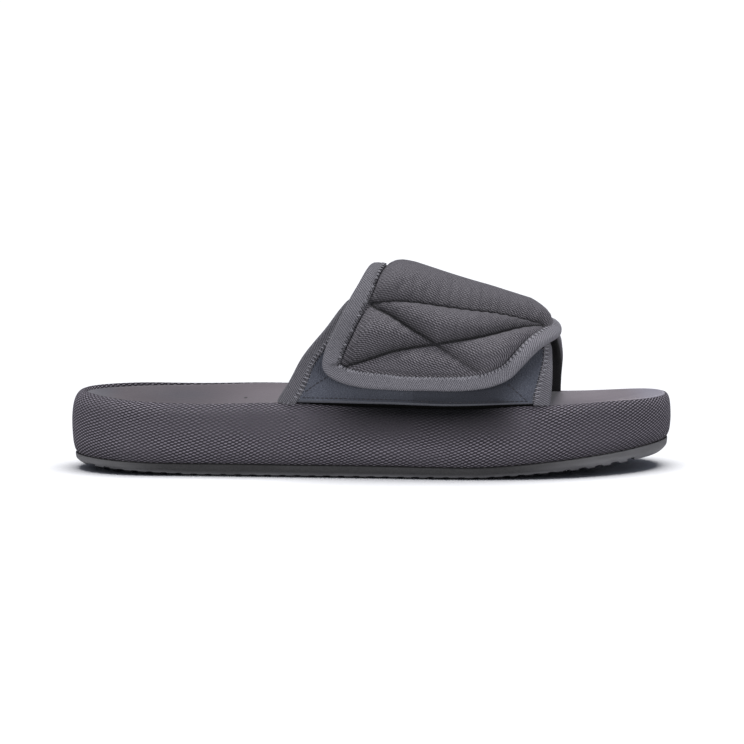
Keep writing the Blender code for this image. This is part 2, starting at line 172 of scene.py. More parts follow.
def rimHeight(x, y):
    share = (1 + (y - soleAt("centre", x)) / soleAt("halfWidth", x)) / 2
    return soleAt("rimLateral", x) * (1 - share) + soleAt("rimMedial", x) * share


def spring(end, x):
    rise, start, power = sole[end]
    return rise * (np.maximum(x - start, 0) / (half - start)) ** power


def underside(x):
    return spring("toeSpring", x) + spring("heelSpring", -x)


def rubberTop(x):
    return underside(x) + soleAt("rubber", x)


def seamInset(x):
    return sole["seamInset"] * soleAt("roll", x)


def outlineLength(turn):
    turns = np.linspace(0, 1, 2001)
    steps = np.linalg.norm(np.diff(planPoint(turns), axis=0), axis=1)
    return np.interp(turn, turns, runningLength(steps))


def profileAt(shape, share):
    # level and inset at a share of the way up a piece's wall
    marks = np.arange(len(shape["levels"]))
    at = share * marks[-1]
    return smoothTable(marks, shape["levels"], at), smoothTable(marks, shape["insets"], at)


# building meshes
def newMesh():
    bm = bmesh.new()
    bm.loops.layers.uv.new("weave")
    # shade: painted shade per point; on the outsole, values above 0 are dust
    bm.verts.layers.float.new("shade")
    return bm


def flatGrid(bm, columns, rows):
    verts = bmesh.ops.create_grid(bm, x_segments=columns, y_segments=rows, size=0.5)["verts"]
    i = np.array([round((vert.co.x + 0.5) * columns) for vert in verts])
    j = np.array([round((vert.co.y + 0.5) * rows) for vert in verts])
    return verts, i, j


def addGrid(bm, columns, rows, place):
    # a grid whose point (i, j) goes where place says, with its place in the weave and its shade
    uvLayer = bm.loops.layers.uv["weave"]
    shadeLayer = bm.verts.layers.float["shade"]
    verts, i, j = flatGrid(bm, columns, rows)
    points, weave, shade = place(i, j)
    for vert, point, uv, tone in zip(verts, points * mm, weave, shade):
        vert.co = point
        vert[shadeLayer] = tone
        for loop in vert.link_loops:
            loop[uvLayer].uv = uv
    return verts


def paint(bm, verts, shadeAt):
    # a shade that follows the place, not the grid
    shadeLayer = bm.verts.layers.float["shade"]
    x, y, z = (np.array([vert.co for vert in verts]) / mm).T
    for vert, tone in zip(verts, shadeAt(x, y, z)):
        vert[shadeLayer] = tone


def noShade(turn, row, points):
    return np.zeros(len(turn))


def ringSkin(bm, rows, place, shade=noShade, columns=sole["around"]):
    # a band round the sole: place(turn, row) gives x, y, z
    def onBand(i, j):
        points = place(i / columns, j)
        band = np.empty((columns + 1, rows + 1, 3))
        band[i, j] = points
        height = runningLength(np.linalg.norm(np.diff(band, axis=1), axis=2), 1)
        weave = np.stack([outlineLength(i / columns), height[i, j]], axis=-1)
        return points, weave, shade(i / columns, j, points)

    return addGrid(bm, columns, rows, onBand)


def ringAt(place, row):
    return lambda turn: place(turn, np.full_like(turn, row))


def ladderCap(bm, rows, edge, height, columns=sole["around"] // 2):
    # closes a ring across the sole: edge(turn) gives the ring's points, height(x, y, z) the surface's height,
    # where z is that of the straight line across
    def onCap(i, j):
        near = edge(i / columns / 2)
        far = edge(1 - i / columns / 2)
        share = (j / rows)[:, None]
        points = near * (1 - share) + far * share
        points[:, 2] = height(points[:, 0], points[:, 1], points[:, 2])
        return points, points[:, :2], np.zeros(len(i))

    return addGrid(bm, columns, rows, onCap)


def doubleSkin(bm, columns, rows, outer, inner, innerMaterial=0):
    # two matching grids and the narrow wall that joins their edges; returns the wall's faces
    addGrid(bm, columns, rows, outer)
    outerFaces = len(bm.faces)
    addGrid(bm, columns, rows, inner)
    bm.faces.ensure_lookup_table()
    for face in bm.faces[outerFaces:]:
        face.material_index = innerMaterial
    edges = [edge for edge in bm.edges if edge.is_boundary]
    return bmesh.ops.bridge_loops(bm, edges=edges)["faces"]


def newObject(name, bm):
    mesh = bpy.data.meshes.new(name)
    bm.to_mesh(mesh)
    bm.free()
    made = bpy.data.objects.new(name, mesh)
    bpy.context.scene.collection.objects.link(made)
    return made


def finishPiece(name, bm, materials, node=None, weld=weldDistance):
    bmesh.ops.remove_doubles(bm, verts=bm.verts, dist=weld * mm)
    bmesh.ops.recalc_face_normals(bm, faces=bm.faces)
    openEdges = sum(1 for edge in bm.edges if not edge.is_manifold)
    piece = newObject(name, bm)
    for material in materials:
        piece.data.materials.append(material)
    piece.data.shade_smooth()
    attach(piece, "root")
    if node:
        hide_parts(node)
    print(f"{name}: {len(piece.data.polygons)} faces, {openEdges} open edges")
    return piece


# material helpers
class Graph:
    def __init__(self, name):
        self.material = bpy.data.materials.new(name)
        self.material.use_nodes = True
        self.tree = self.material.node_tree
        self.shader = self.tree.nodes["Principled BSDF"]

    def add(self, kind, **settings):
        node = self.tree.nodes.new(kind)
        for key, value in settings.items():
            setattr(node, key, value)
        return node

    def join(self, source, socket):
        if isinstance(source, bpy.types.NodeSocket):
            self.tree.links.new(source, socket)
        elif socket.type == "RGBA":
            socket.default_value = (*source, 1)
        else:
            socket.default_value = source

    def math(self, operation, *values):
        node = self.add("ShaderNodeMath", operation=operation)
        for value, socket in zip(values, node.inputs):
            self.join(value, socket)
        return node.outputs[0]

    def plus(self, first, second):
        return self.math("ADD", first, second)

    def times(self, first, second):
        return self.math("MULTIPLY", first, second)

    def swing(self, noise, amount):
        return self.times(self.math("SUBTRACT", noise, 0.5), amount)

    def between(self, value, low, high, start=0.0, end=1.0):
        node = self.add("ShaderNodeMapRange", interpolation_type="SMOOTHSTEP")
        for given, socket in zip((value, low, high, start, end), node.inputs):
            self.join(given, socket)
        return node.outputs[0]

    def mix(self, share, first, second):
        node = self.add("ShaderNodeMix", data_type="RGBA")
        self.join(share, node.inputs["Factor"])
        self.join(first, node.inputs[6])
        self.join(second, node.inputs[7])
        return node.outputs[2]

    def weave(self):
        node = self.add("ShaderNodeUVMap", uv_map="weave")
        split = self.add("ShaderNodeSeparateXYZ")
        self.join(node.outputs[0], split.inputs[0])
        return node.outputs[0], split.outputs[0], split.outputs[1]

    def place(self):
        return self.add("ShaderNodeTexCoord").outputs["Object"]

    def noise(self, vector, scale, detail=2.0, stretch=(1, 1, 1)):
        mapping = self.add("ShaderNodeMapping")
        self.join(vector, mapping.inputs["Vector"])
        mapping.inputs["Scale"].default_value = stretch
        node = self.add("ShaderNodeTexNoise")
        self.join(mapping.outputs[0], node.inputs["Vector"])
        node.inputs["Scale"].default_value = scale
        node.inputs["Detail"].default_value = detail
        return node.outputs[0]

    def shade(self):
        return self.add("ShaderNodeAttribute", attribute_name="shade").outputs["Fac"]

    def facingUp(self, low, high, most):
        split = self.add("ShaderNodeSeparateXYZ")
        self.join(self.add("ShaderNodeNewGeometry").outputs["Normal"], split.inputs[0])
        return self.between(split.outputs[2], low, high, 0.0, most)

    def bump(self, height, relief):
        node = self.add("ShaderNodeBump")
        node.inputs["Strength"].default_value = 1.0
        node.inputs["Distance"].default_value = relief * mm
        self.join(height, node.inputs["Height"])
        return node.outputs[0]

    def finish(self, color, roughness, normal, sheen=0.0, specular=0.3):
        self.join(color, self.shader.inputs["Base Color"])
        self.join(roughness, self.shader.inputs["Roughness"])
        self.join(normal, self.shader.inputs["Normal"])
        self.shader.inputs["Sheen Weight"].default_value = sheen
        self.shader.inputs["Sheen Roughness"].default_value = 0.5
        self.shader.inputs["Specular IOR Level"].default_value = specular
        return self.material


# woven nylon: floats of yarn where two families of slanted lines cross, counted in lines per millimetre
def wovenNylon(name, look):
    g = Graph(name)
    uv, u, v = g.weave()
    u = g.plus(u, g.swing(g.noise(uv, 0.022), look["drift"]))
    v = g.plus(v, g.swing(g.noise(uv, 0.017, stretch=(1, 1.4, 1)), look["drift"]))
    waves = []
    for across, up in (look["twill"], look["counter"]):
        run = g.plus(g.times(u, across), g.times(v, up))
        waves.append(g.math("COSINE", g.times(run, 2 * math.pi)))
    floats = g.plus(g.times(waves[0], look["balance"]), g.times(waves[1], 1 - look["balance"]))
    fibre = g.noise(uv, 1.1, 3, stretch=(0.9, 3.5, 1))
    uneven = g.plus(floats, g.swing(fibre, 1.3))
    over = g.between(uneven, look["floatFrom"], look["floatFrom"] + 1.15)
    blotch = g.noise(uv, 0.03, 3)
    color = g.mix(over, look["ground"], look["yarn"])
    faded = g.between(blotch, 0.38, 0.66, 0.0, 0.35)
    # painted light: a band up the wall, mixed toward the faded colour
    if "paintedLightBand" in look:
        low, high, most = look["paintedLightBand"]
        start, end = look["paintedLightRun"]
        paintedLightShare = g.times(g.between(v, low - 5, low + 2), g.between(v, high - 2, high + 4, most, 0.0))
        paintedLightShare = g.times(paintedLightShare, g.between(u, start - 15, start + 15))
        paintedLightShare = g.times(paintedLightShare, g.between(u, end - 20, end + 20, 1.0, 0.0))
        faded = g.plus(faded, g.times(paintedLightShare, blotch))
    # painted light: surfaces that face up are mixed toward the faded colour
    if "paintedUpLight" in look:
        faded = g.math("MAXIMUM", faded, g.facingUp(*look["paintedUpLight"]))
    # the faded colour takes random fading and the painted light above
    color = g.mix(faded, color, look["faded"])
    # painted shade: the shade attribute mixes toward the shadow colour
    color = g.mix(g.shade(), color, look["shadow"])
    normal = g.bump(uneven, look["relief"])
    roughness = g.between(over, 0, 1, 0.8, 0.6)
    return g.finish(color, roughness, normal, sheen=look["sheen"], specular=look["gloss"])


wrapLook = {
    "twill": (0.270, -0.700),
    "counter": (0.334, 0.555),
    "balance": 0.58,
    "paintedLightBand": (17, 26, 1.1),  # painted light in a band: from and to this height up the wall, how much
    "paintedLightRun": (60, 235),  # from and to this length round the outline
    "drift": 5.0,
    "floatFrom": -0.25,
    "ground": (0.034, 0.031, 0.037),
    "yarn": (0.316, 0.288, 0.335),
    "faded": (0.112, 0.102, 0.119),
    "shadow": (0.003, 0.003, 0.004),
    "relief": 0.32,
    "sheen": 0.0,
    "gloss": 0.12,
}
strapLook = {
    "twill": (0.25, 0.88),
    "counter": (0.63, 0.36),
    "balance": 0.60,
    "paintedUpLight": (0.58, 0.94, 0.7),  # painted light on surfaces facing up: from and to this upward lean, how much
    "drift": 2.5,
    "floatFrom": -0.35,
    "ground": (0.042, 0.039, 0.045),
    "yarn": (0.245, 0.230, 0.256),
    "faded": (0.135, 0.127, 0.142),
    "shadow": (0.005, 0.005, 0.006),
    "relief": 0.26,
    "sheen": 0.04,
    "gloss": 0.16,
}
# the tab's near-black shadow colour is for painted shade at its root, below the patch
tabLook = dict(strapLook, relief=0.12, shadow=(0.001, 0.001, 0.001), sheen=0.0, gloss=0.04)
wrapNylon = wovenNylon("sole_wrap", wrapLook)
strapNylon = wovenNylon("strap_nylon", strapLook)
tabNylon = wovenNylon("tab_fabric", tabLook)
# the strap's inner face: the lining's dark colour, deepened to near black with painted shade
liningLook = dict(strapLook, ground=(0.005, 0.005, 0.006), yarn=(0.014, 0.0135, 0.0165))
liningLook.update(faded=(0.012, 0.0115, 0.0145), relief=0.06, sheen=0.02)
strapLining = wovenNylon("strap_lining", liningLook)


def ribbedTape(name, look):
    g = Graph(name)
    uv, u, v = g.weave()
    wander = g.swing(g.noise(uv, 0.12), look["wander"])
    run = g.plus(g.plus(u, wander), g.times(v, look["slant"]))
    rib = g.math("SINE", g.times(run, 2 * math.pi / look["rib"]))
    fibre = g.noise(uv, 2.2, 3, stretch=(1.6, 0.5, 1))
    blotch = g.noise(uv, 0.06, 3)
    color = g.mix(g.between(rib, -0.8, 0.9), look["valley"], look["ridge"])
    color = g.mix(g.between(fibre, 0.3, 0.75, 0.0, 0.3), color, look["valley"])
    color = g.mix(g.between(blotch, 0.35, 0.7, 0.0, 0.3), color, look["faded"])
    # painted shade: the shade attribute mixes toward a near-black colour
    color = g.mix(g.shade(), color, look["paintedShadeColor"])
    height = g.plus(rib, g.times(fibre, 0.8))
    normal = g.bump(height, look["relief"])
    return g.finish(color, 0.72, normal, sheen=0.04, specular=0.18)


tapeLook = {
    "rib": 0.95,
    "slant": 0.55,
    "wander": 0.8,
    "valley": (0.108, 0.104, 0.118),
    "ridge": (0.300, 0.291, 0.322),
    "faded": (0.210, 0.204, 0.222),
    # colour of the painted shade
    "paintedShadeColor": (0.009, 0.009, 0.010),
    "relief": 0.15,
}
bindingTape = ribbedTape("binding_tape", tapeLook)


def brushedFootbed(name, look):
    g = Graph(name)
    where = g.place()
    nap = g.noise(where, 900, 4)
    pores = g.noise(where, 2600, 2)
    cloud = g.noise(where, 38, 4)
    color = g.mix(g.between(cloud, 0.3, 0.72), look["dark"], look["light"])
    color = g.mix(g.between(nap, 0.35, 0.7, 0.0, 0.3), color, look["nap"])
    split = g.add("ShaderNodeSeparateXYZ")
    g.join(where, split.inputs[0])
    # painted shade: the footbed darkens towards the heel
    heelSide, toeSide, most = look["heelwardShade"]
    color = g.mix(g.between(split.outputs[0], heelSide, toeSide, most, 0.0), color, look["wearAndShade"])
    # the heel end's bluish lining, deepened with painted shade; painted shade in the heel cup and in front of
    # the strap
    color = g.mix(g.shade(), color, look["liningAndShade"])
    flat = g.add("ShaderNodeMapping")
    flat.inputs["Scale"].default_value = (1, 1, 0)
    g.join(where, flat.inputs["Vector"])
    toward = g.add("ShaderNodeVectorMath", operation="DISTANCE")
    g.join(flat.outputs[0], toward.inputs[0])
    toward.inputs[1].default_value = look["speckAt"]
    speck = g.between(toward.outputs["Value"], *look["speckSize"], 1.0, 0.0)
    color = g.mix(speck, color, look["speck"])
    # painted highlight: the toe end goes a lighter bluish
    start, end, most = look["toeHighlightRun"]
    color = g.mix(g.between(split.outputs[0], start, end, 0.0, most), color, look["toeHighlight"])
    height = g.plus(nap, g.times(pores, 0.5))
    normal = g.bump(height, look["relief"])
    roughness = g.between(cloud, 0.3, 0.7, 0.78, 0.9)
    return g.finish(color, roughness, normal, sheen=0.25, specular=0.2)


footbedLook = {
    "dark": (0.182, 0.155, 0.176),
    "light": (0.222, 0.192, 0.215),
    "nap": (0.260, 0.226, 0.252),
    # colour of the painted shade towards the heel
    "wearAndShade": (0.074, 0.062, 0.070),
    "heelwardShade": (-0.15, 0.07, 0.85),  # painted shade towards the heel: from x, to x, how much
    "liningAndShade": (0.080, 0.079, 0.096),
    "speckAt": (-0.0617, 0.0178, 0),
    "speckSize": (0.0005, 0.0012),
    "speck": (0.020, 0.018, 0.020),
    # painted highlight at the toe end: from x, to x, how much
    "toeHighlightRun": (0.122, 0.138, 0.5),
    "toeHighlight": (0.300, 0.300, 0.370),
    "relief": 0.10,
}
footbed = brushedFootbed("footbed", footbedLook)


def mouldedRubber(name, look):
    g = Graph(name)
    where = g.place()
    grain = g.noise(where, 1500, 3)
    scuff = g.noise(where, 90, 5, stretch=(0.6, 1, 3))
    color = g.mix(g.between(grain, 0.3, 0.7), look["dark"], look["light"])
    shade = g.shade()  # above 0 dusty, below 0 painted shade in the grooves and along the ground
    wearAndShade = g.times(shade, g.between(scuff, 0.25, 0.65, 0.6, 1.0))
    color = g.mix(wearAndShade, color, look["dust"])
    color = g.mix(g.between(shade, -0.6, -0.1, 1.0, 0.0), color, look["grooveShade"])
    normal = g.bump(g.plus(grain, g.times(scuff, 0.7)), look["relief"])
    roughness = g.between(scuff, 0.3, 0.7, 0.55, 0.8)
    return g.finish(color, roughness, normal, specular=0.28)


rubberLook = {
    "dark": (0.021, 0.020, 0.021),
    "light": (0.034, 0.033, 0.034),
    "dust": (0.215, 0.211, 0.219),
    # colour of the painted shade in the grooves and along the ground
    "grooveShade": (0.006, 0.006, 0.007),
    "relief": 0.06,
}
outsoleRubber = mouldedRubber("outsole_rubber", rubberLook)


def loopPile(name, look):
    g = Graph(name)
    uv, u, _ = g.weave()
    knit = g.math("SINE", g.times(u, 2 * math.pi / look["course"]))
    pile = g.noise(uv, 1.5, 4)
    tuft = g.add("ShaderNodeTexVoronoi", feature="F1")
    tuft.inputs["Scale"].default_value = 1 / look["loop"]
    g.join(uv, tuft.inputs["Vector"])
    crown = g.between(tuft.outputs["Distance"], 0.65, 0.05)
    cloud = g.noise(uv, 0.07, 3)
    color = g.mix(crown, look["deep"], look["crown"])
    color = g.mix(g.between(pile, 0.3, 0.75, 0.0, 0.5), color, look["fuzz"])
    color = g.mix(g.between(cloud, 0.3, 0.7, 0.0, 0.35), color, look["deep"])
    # painted shade: the shade attribute mixes toward a near-black colour
    color = g.mix(g.shade(), color, look["paintedShadeColor"])
    height = g.plus(g.plus(crown, pile), g.times(knit, 0.15))
    normal = g.bump(height, look["relief"])
    return g.finish(color, 0.95, normal, sheen=0.3, specular=0.15)


loopLook = {
    "course": 1.1,
    "loop": 0.75,
    "deep": (0.063, 0.068, 0.087),
    "crown": (0.126, 0.136, 0.172),
    "fuzz": (0.165, 0.176, 0.216),
    # colour of the painted shade
    "paintedShadeColor": (0.024, 0.026, 0.034),
    "relief": 0.25,
}
loopFabric = loopPile("loop_fabric", loopLook)


def sewingThread(name, color):
    g = Graph(name)
    where = g.place()
    twist = g.noise(where, 3000, 2)
    tone = g.mix(g.between(twist, 0.3, 0.7), tuple(0.7 * c for c in color), color)
    return g.finish(tone, 0.6, g.bump(twist, 0.05), specular=0.3)


paleThread = sewingThread("pale_thread", (0.47, 0.46, 0.50))
# near black: the dark thread of seams and patch, and in the zigzags painted shade in the stitch holes
darkThreadAndShade = sewingThread("dark_thread_and_shade", (0.030, 0.028, 0.034))
greyThread = sewingThread("grey_thread", (0.42, 0.41, 0.45))
cutEdge = sewingThread("loop_fabric_edge", (0.082, 0.084, 0.097))
print("materials made")


# outsole: rubber with a bevelled edge and wavy grooves across the bottom
outsoleShape = {
    "levels": [0.0, 0.10, 0.28, 0.5, 0.92, 1.0],
    "insets": [5.4, 4.3, 2.9, 1.9, 1.6, 2.0],
    "around": 1120,
    "sideRows": 20,
    "bottomRows": 56,
    "weld": 0.002,  # the points crowd together at heel and toe
    "groovePitch": 7.2,
    "grooveWidth": 3.0,
    "grooveSoft": 0.35,
    "grooveDepth": 1.6,
    "grooveAtEdge": 0.6,  # share of the depth left at the outline
    "edgeFrom": (0.62, 0.82),  # where it gets shallower, in half widths
    "grooveWave": 1.7,
    "waveLength": 46.7,
    "waveStart": -70,
    "grooveFirst": -136.2,
    "grooves": 37,
    "dust": 0.75,
    "dustRise": (0.8, 3.0),
    "heelDust": (96, 140),
    "toeDust": (62, 118),
    "wiped": 0.42,
    "wipedRise": (1.5, 5.0),
    "groundShade": 0.8,  # painted shade, dark along the ground
    "groundShadeEnd": (80, 110),
}


def grooveDepth(x, y):
    shape = outsoleShape
    bend = np.abs(((y - shape["waveStart"]) / shape["waveLength"] * 2) % 2 - 1) * 2 - 1
    run = (x - bend * shape["grooveWave"] - shape["grooveFirst"]) / shape["groovePitch"]
    fromMiddle = np.abs(run - np.round(run)) * shape["groovePitch"]
    reach, soft = shape["grooveWidth"] / 2, shape["grooveSoft"]
    cut = 1 - ease(fromMiddle, reach - soft, reach + soft)
    inRange = (np.round(run) >= 0) & (np.round(run) < shape["grooves"])
    fromCentre = np.abs(y - soleAt("centre", x)) / soleAt("halfWidth", x)
    depth = shape["grooveDepth"] * (1 - (1 - shape["grooveAtEdge"]) * ease(fromCentre, *shape["edgeFrom"]))
    return depth * cut * inRange


def makeOutsole():
    shape = outsoleShape
    capColumns = shape["around"] // 2

    def bottom(x, y, z):
        return underside(x) + grooveDepth(x, y)

    def side(turn, row):
        level, inset = profileAt(shape, row / shape["sideRows"])
        x, y = insetPoint(turn, inset).T
        z = underside(x) + level * soleAt("rubber", x)
        return np.stack([x, y, np.maximum(z, bottom(x, y, z))], axis=-1)

    def shade(x, y, z):
        rise = z - underside(x)
        lower = shape["dust"] * (1 - ease(rise, *shape["dustRise"]))
        ends = np.maximum(shape["dust"] * ease(-x, *shape["heelDust"]), ease(x, *shape["toeDust"]))
        ends = ends * (1 - shape["wiped"] * ease(rise, *shape["wipedRise"]))
        # painted shade: the grooves and a band along the ground get -1
        cut = grooveDepth(x, y)
        inGroove = (cut > 0.3) & (rise < cut + 0.1)
        foot = shape["groundShade"] * (1 - ease(x, *shape["groundShadeEnd"]))
        return np.where(inGroove | (rise < foot), -1.0, np.maximum(lower, ends))

    bm = newMesh()
    verts = ringSkin(bm, shape["sideRows"], side, columns=shape["around"])
    verts = verts + ladderCap(bm, shape["bottomRows"], ringAt(side, 0), bottom, capColumns)
    ladderCap(bm, capRows, ringAt(side, shape["sideRows"]), lambda x, y, z: rubberTop(x), capColumns)
    paint(bm, verts, shade)
    return finishPiece("outsoleRubber", bm, [outsoleRubber], "outsole", shape["weld"])


makeOutsole()


# midsole: foam wrapped in woven nylon, rolled in at the rim
wrapShape = {
    "levels": [0.0, 0.05, 0.18, 0.42, 0.62, 0.79, 0.90, 0.97, 1.0],
    "insets": [2.5, 1.4, 0.5, 0.0, 0.1, 0.7, 1.7, 3.1, 4.6],
    "wallRows": 46,
    "seamRows": 3,
    "seamSlope": 0.1,
    "slack": 0.18,
    "slackSize": 16,
    "dip": 1.4,  # the rim gives way under the closure tab
    "dipRun": (-46, -1, 46, 74),
    "flapShadowAt": [-34, -20, -6, 14, 43, 60, 72],  # painted shadow below the flap, rear to front
    "flapShadow": [0, 0.45, 0.85, 1.0, 1.0, 0.75, 0],
    "flapShadowFrom": 15.0,
    "flapShadowRise": 17.0,
    "footShade": 0.35,
    "heelSeamShade": (-138, -122, -100, -80),  # painted shade, dark between rim and footbed
}


def makeWrap():
    shape = wrapShape
    lastRow = shape["wallRows"] + shape["seamRows"]

    def underTab(x, y):
        return within(x, *shape["dipRun"]) * (y < 0)

    def upWall(row):
        return profileAt(shape, np.clip(row / shape["wallRows"], 0, 1))

    def wall(turn, row):
        level, inset = upWall(row)
        roll = np.where(level > 0.5, soleAt("roll", planPoint(turn)[:, 0]), 1.0)
        bulge = np.sin(math.pi * np.clip(level, 0, 1)) * within(turn, 0, 0.02, 0.98, 1)
        soft = shape["slack"] * ripple(outlineLength(turn), row * 0.7, shape["slackSize"]) * bulge
        down = np.clip((row - shape["wallRows"]) / shape["seamRows"], 0, 1)
        x, y = insetPoint(turn, inset * roll + soft + shape["seamSlope"] * down).T
        low = rubberTop(x) + gap
        rim = rimHeight(x, y) - shape["dip"] * underTab(x, y) * ease(level, 0.6, 0.97)
        z = low + level * (rim - low)
        return np.stack([x, y, z + down * (soleAt("floor", x) - z)], axis=-1)

    def shade(turn, row, points):
        x, y, z = points.T
        level = upWall(row)[0]
        # painted shade: the rim's top roll under the closure tab goes black
        slotShade = underTab(x, y) * ease(level, 0.965, 0.99)
        # painted shadow of the flap on the wall, fading down it
        deep = smoothTable(shape["flapShadowAt"], shape["flapShadow"], x) * (y < 0)
        flapShadow = deep * np.clip((z - shape["flapShadowFrom"]) / shape["flapShadowRise"], 0, 1)
        # painted shade in the gap between rim and footbed at the heel
        heelSeamShade = (row > shape["wallRows"]) * within(x, *shape["heelSeamShade"])
        # painted shade, darker towards the foot of the wall
        foot = shape["footShade"] * (1 - ease(level, 0.0, 0.3))
        return np.max([slotShade, flapShadow, heelSeamShade, foot], axis=0)

    bm = newMesh()
    ringSkin(bm, lastRow, wall, shade)
    ladderCap(bm, capRows, ringAt(wall, 0), lambda x, y, z: rubberTop(x) + gap)
    ladderCap(bm, capRows, ringAt(wall, lastRow), lambda x, y, z: soleAt("floor", x))
    return finishPiece("soleWrap", bm, [wrapNylon], "midsole")


makeWrap()


# the upper: one arch over the foot, around = 0 at the lateral seam, 0.5 on the ridge, 1 at the medial seam
upper = {
    "inset": 8.1,
    "archPower": 2.4,
    "belly": 1.5,
    "seamSink": 1.0,
    "ridgeX": [-60, -20, 0, 9, 18, 34, 74, 84, 94],
    "ridgeHeight": [99.0, 96.0, 93.5, 93.6, 91.3, 85.8, 73.1, 67.8, 56.5],
    "tuckLift": 0.95,
    "tuckThickness": 2.0,
    "tuckFade": 8.0,
}
strapEdges = {
    "around": [0.042, 0.105, 0.180, 0.261, 0.329, 0.420, 0.500, 0.640, 0.820, 1.000],
    "rear": [-22.2, -20.5, -14.8, -9.0, -4.6, -0.7, 1.4, 1.6, -9.4, -37.2],
    "front": [58.4, 66.4, 74.5, 81.9, 84.4, 84.9, 85.5, 89.0, 91.6, 91.6],
    "rearCorner": (30, 0.046),  # reach along the foot, share of the arch
    "frontCorner": (27, 0.066),
    "dropAt": [-22, -6, 4, 14, 24, 34, 44, 54],  # the lower edge's wander
    "drop": [0.0005, 0.0032, 0.0046, 0.005, 0.002, -0.0012, -0.0026, -0.002],
    "dropFade": 0.09,
}
tabEdges = {
    "around": [0.000, 0.035, 0.092, 0.170, 0.232, 0.296],
    "rear": [-44.0, -38.2, -31.7, -20.8, -14.3, -7.8],
    "front": [82.8, 83.3, 83.7, 83.6, 83.4, 83.2],
    "rearCorner": (7, 0.040),
    "frontCorner": (6, 0.060),
}
cornerPower = 2.6
flapEnd = strapEdges["around"][0]
tabTop = tabEdges["around"][-1]


def footY(x, side):
    slope = sideY(x + 0.5, side) - sideY(x - 0.5, side)
    return sideY(x, side) - side * upper["inset"] * np.hypot(1, slope)


def tuckedIn(around):
    # how far past the seam, down in the slot
    return np.maximum(np.maximum(-around, around - 1), 0)


def arch(x, around):
    near, far = footY(x, lateral), footY(x, medial)
    angle = math.pi * np.clip(around, 0, 1)
    cosine, sine = np.cos(angle), np.maximum(np.sin(angle), 0)
    power = 2 / upper["archPower"]
    wide = np.sign(cosine) * np.abs(cosine) ** power
    foot = rimHeight(x, near) * (1 + wide) / 2 + rimHeight(x, far) * (1 - wide) / 2 - upper["seamSink"]
    ridge = smoothTable(upper["ridgeX"], upper["ridgeHeight"], x)
    y = (near + far) / 2 - wide * ((far - near) / 2 + upper["belly"] * np.sin(2 * angle) ** 2)
    z = foot + (ridge - foot) * sine**power
    return np.stack([x, y, z - tuckedIn(around) * (foot - soleAt("floor", x) - 2 * gap)], axis=-1)


def archFrame(x, around):
    forward = (arch(x + 1, around) - arch(x - 1, around)) / 2
    upward = (arch(x, around + 0.004) - arch(x, around - 0.004)) / 0.008
    return forward, upward, unit(np.cross(forward, upward))


def lifted(x, around, lift):
    return arch(x, around) + np.asarray(lift)[..., None] * archFrame(x, around)[2]


def slide(x, around, shift):
    # the place on the arch that lies shift away, in millimetres
    forward, upward, _ = archFrame(x, around)
    ff = (forward * forward).sum(-1)
    uu = (upward * upward).sum(-1)
    fu = (forward * upward).sum(-1)
    sf = (shift * forward).sum(-1)
    su = (shift * upward).sum(-1)
    area = ff * uu - fu * fu
    return x + (sf * uu - su * fu) / area, around + (su * ff - sf * fu) / area


def rounding(corner, distance):
    reach, rise = corner
    t = 1 - np.clip(distance / rise, 0, 1)
    return reach * (1 - (1 - t**cornerPower) ** (1 / cornerPower))


def edgeX(edges, side, around, fromCorner):
    x = smoothTable(edges["around"], edges[side], around)
    turned = rounding(edges[side + "Corner"], fromCorner)
    return x + (turned if side == "rear" else -turned)


def strapEdge(side, around):
    return edgeX(strapEdges, side, around, around - flapEnd)


def tabEdge(side, around):
    return edgeX(tabEdges, side, around, tabTop - around)


def flapDrop(x, around):
    fade = 1 - ease(around, flapEnd, flapEnd + strapEdges["dropFade"])
    return smoothTable(strapEdges["dropAt"], strapEdges["drop"], x) * fade


def evenly(x, around, step):
    # the same line with its points an even step apart on the arch
    run = np.linalg.norm(np.diff(arch(x, around), axis=0), axis=1)
    passed = runningLength(run)
    at = np.linspace(0, passed[-1], round(passed[-1] / step) + 1)
    return np.interp(at, passed, x), np.interp(at, passed, around), at


def borderLine(edge, first, second, run):
    # along one edge to the free end, across it and back along the other
    end = run[-1:]
    across = np.linspace(edge(first, end)[0], edge(second, end)[0], 60)[1:-1]
    x = np.concatenate([edge(first, run), across, edge(second, run[::-1])])
    return x, np.concatenate([run, np.full(len(across), run[-1]), run[::-1]])


def strapBorder(step):
    down = flapEnd + (1 - flapEnd) * np.linspace(1, 0, 600) ** 2
    x, around = borderLine(strapEdge, "rear", "front", down)
    return evenly(x, around - flapDrop(x, around), step)


def tabBorder(step):
    up = tabTop - tabTop * np.linspace(1, 0, 400) ** 2
    return evenly(*borderLine(tabEdge, "front", "rear", up), step)


flap = {"lift": 5.6, "liftEnd": 0.36, "liftStart": 0.62}


def strapLift(around):
    return flap["lift"] * (1 - ease(around, flap["liftEnd"], flap["liftStart"]))


def noLift(around):
    return np.zeros_like(around)


def seamClearance(x, around):
    points = arch(x, around)
    return points[:, 2] - rimHeight(x, points[:, 1])


fabric = {"start": -70, "end": 110, "columns": 45, "rows": 240, "stretch": 1.03, "tuck": 9}


def climbOnFabric():
    # how far past the ridge each point of a grid on the arch lies, measured along the cloth
    along = np.linspace(fabric["start"], fabric["end"], fabric["columns"] + 1)
    x, around = np.meshgrid(along, np.linspace(0, 1, fabric["rows"] + 1), indexing="ij")
    points = arch(x.ravel(), around.ravel()).reshape(*x.shape, 3)
    climb = runningLength(np.linalg.norm(np.diff(points, axis=1), axis=2), 1)
    ridge = fabric["rows"] // 2
    return climb - climb[:, ridge : ridge + 1]


fabricClimb = climbOnFabric()


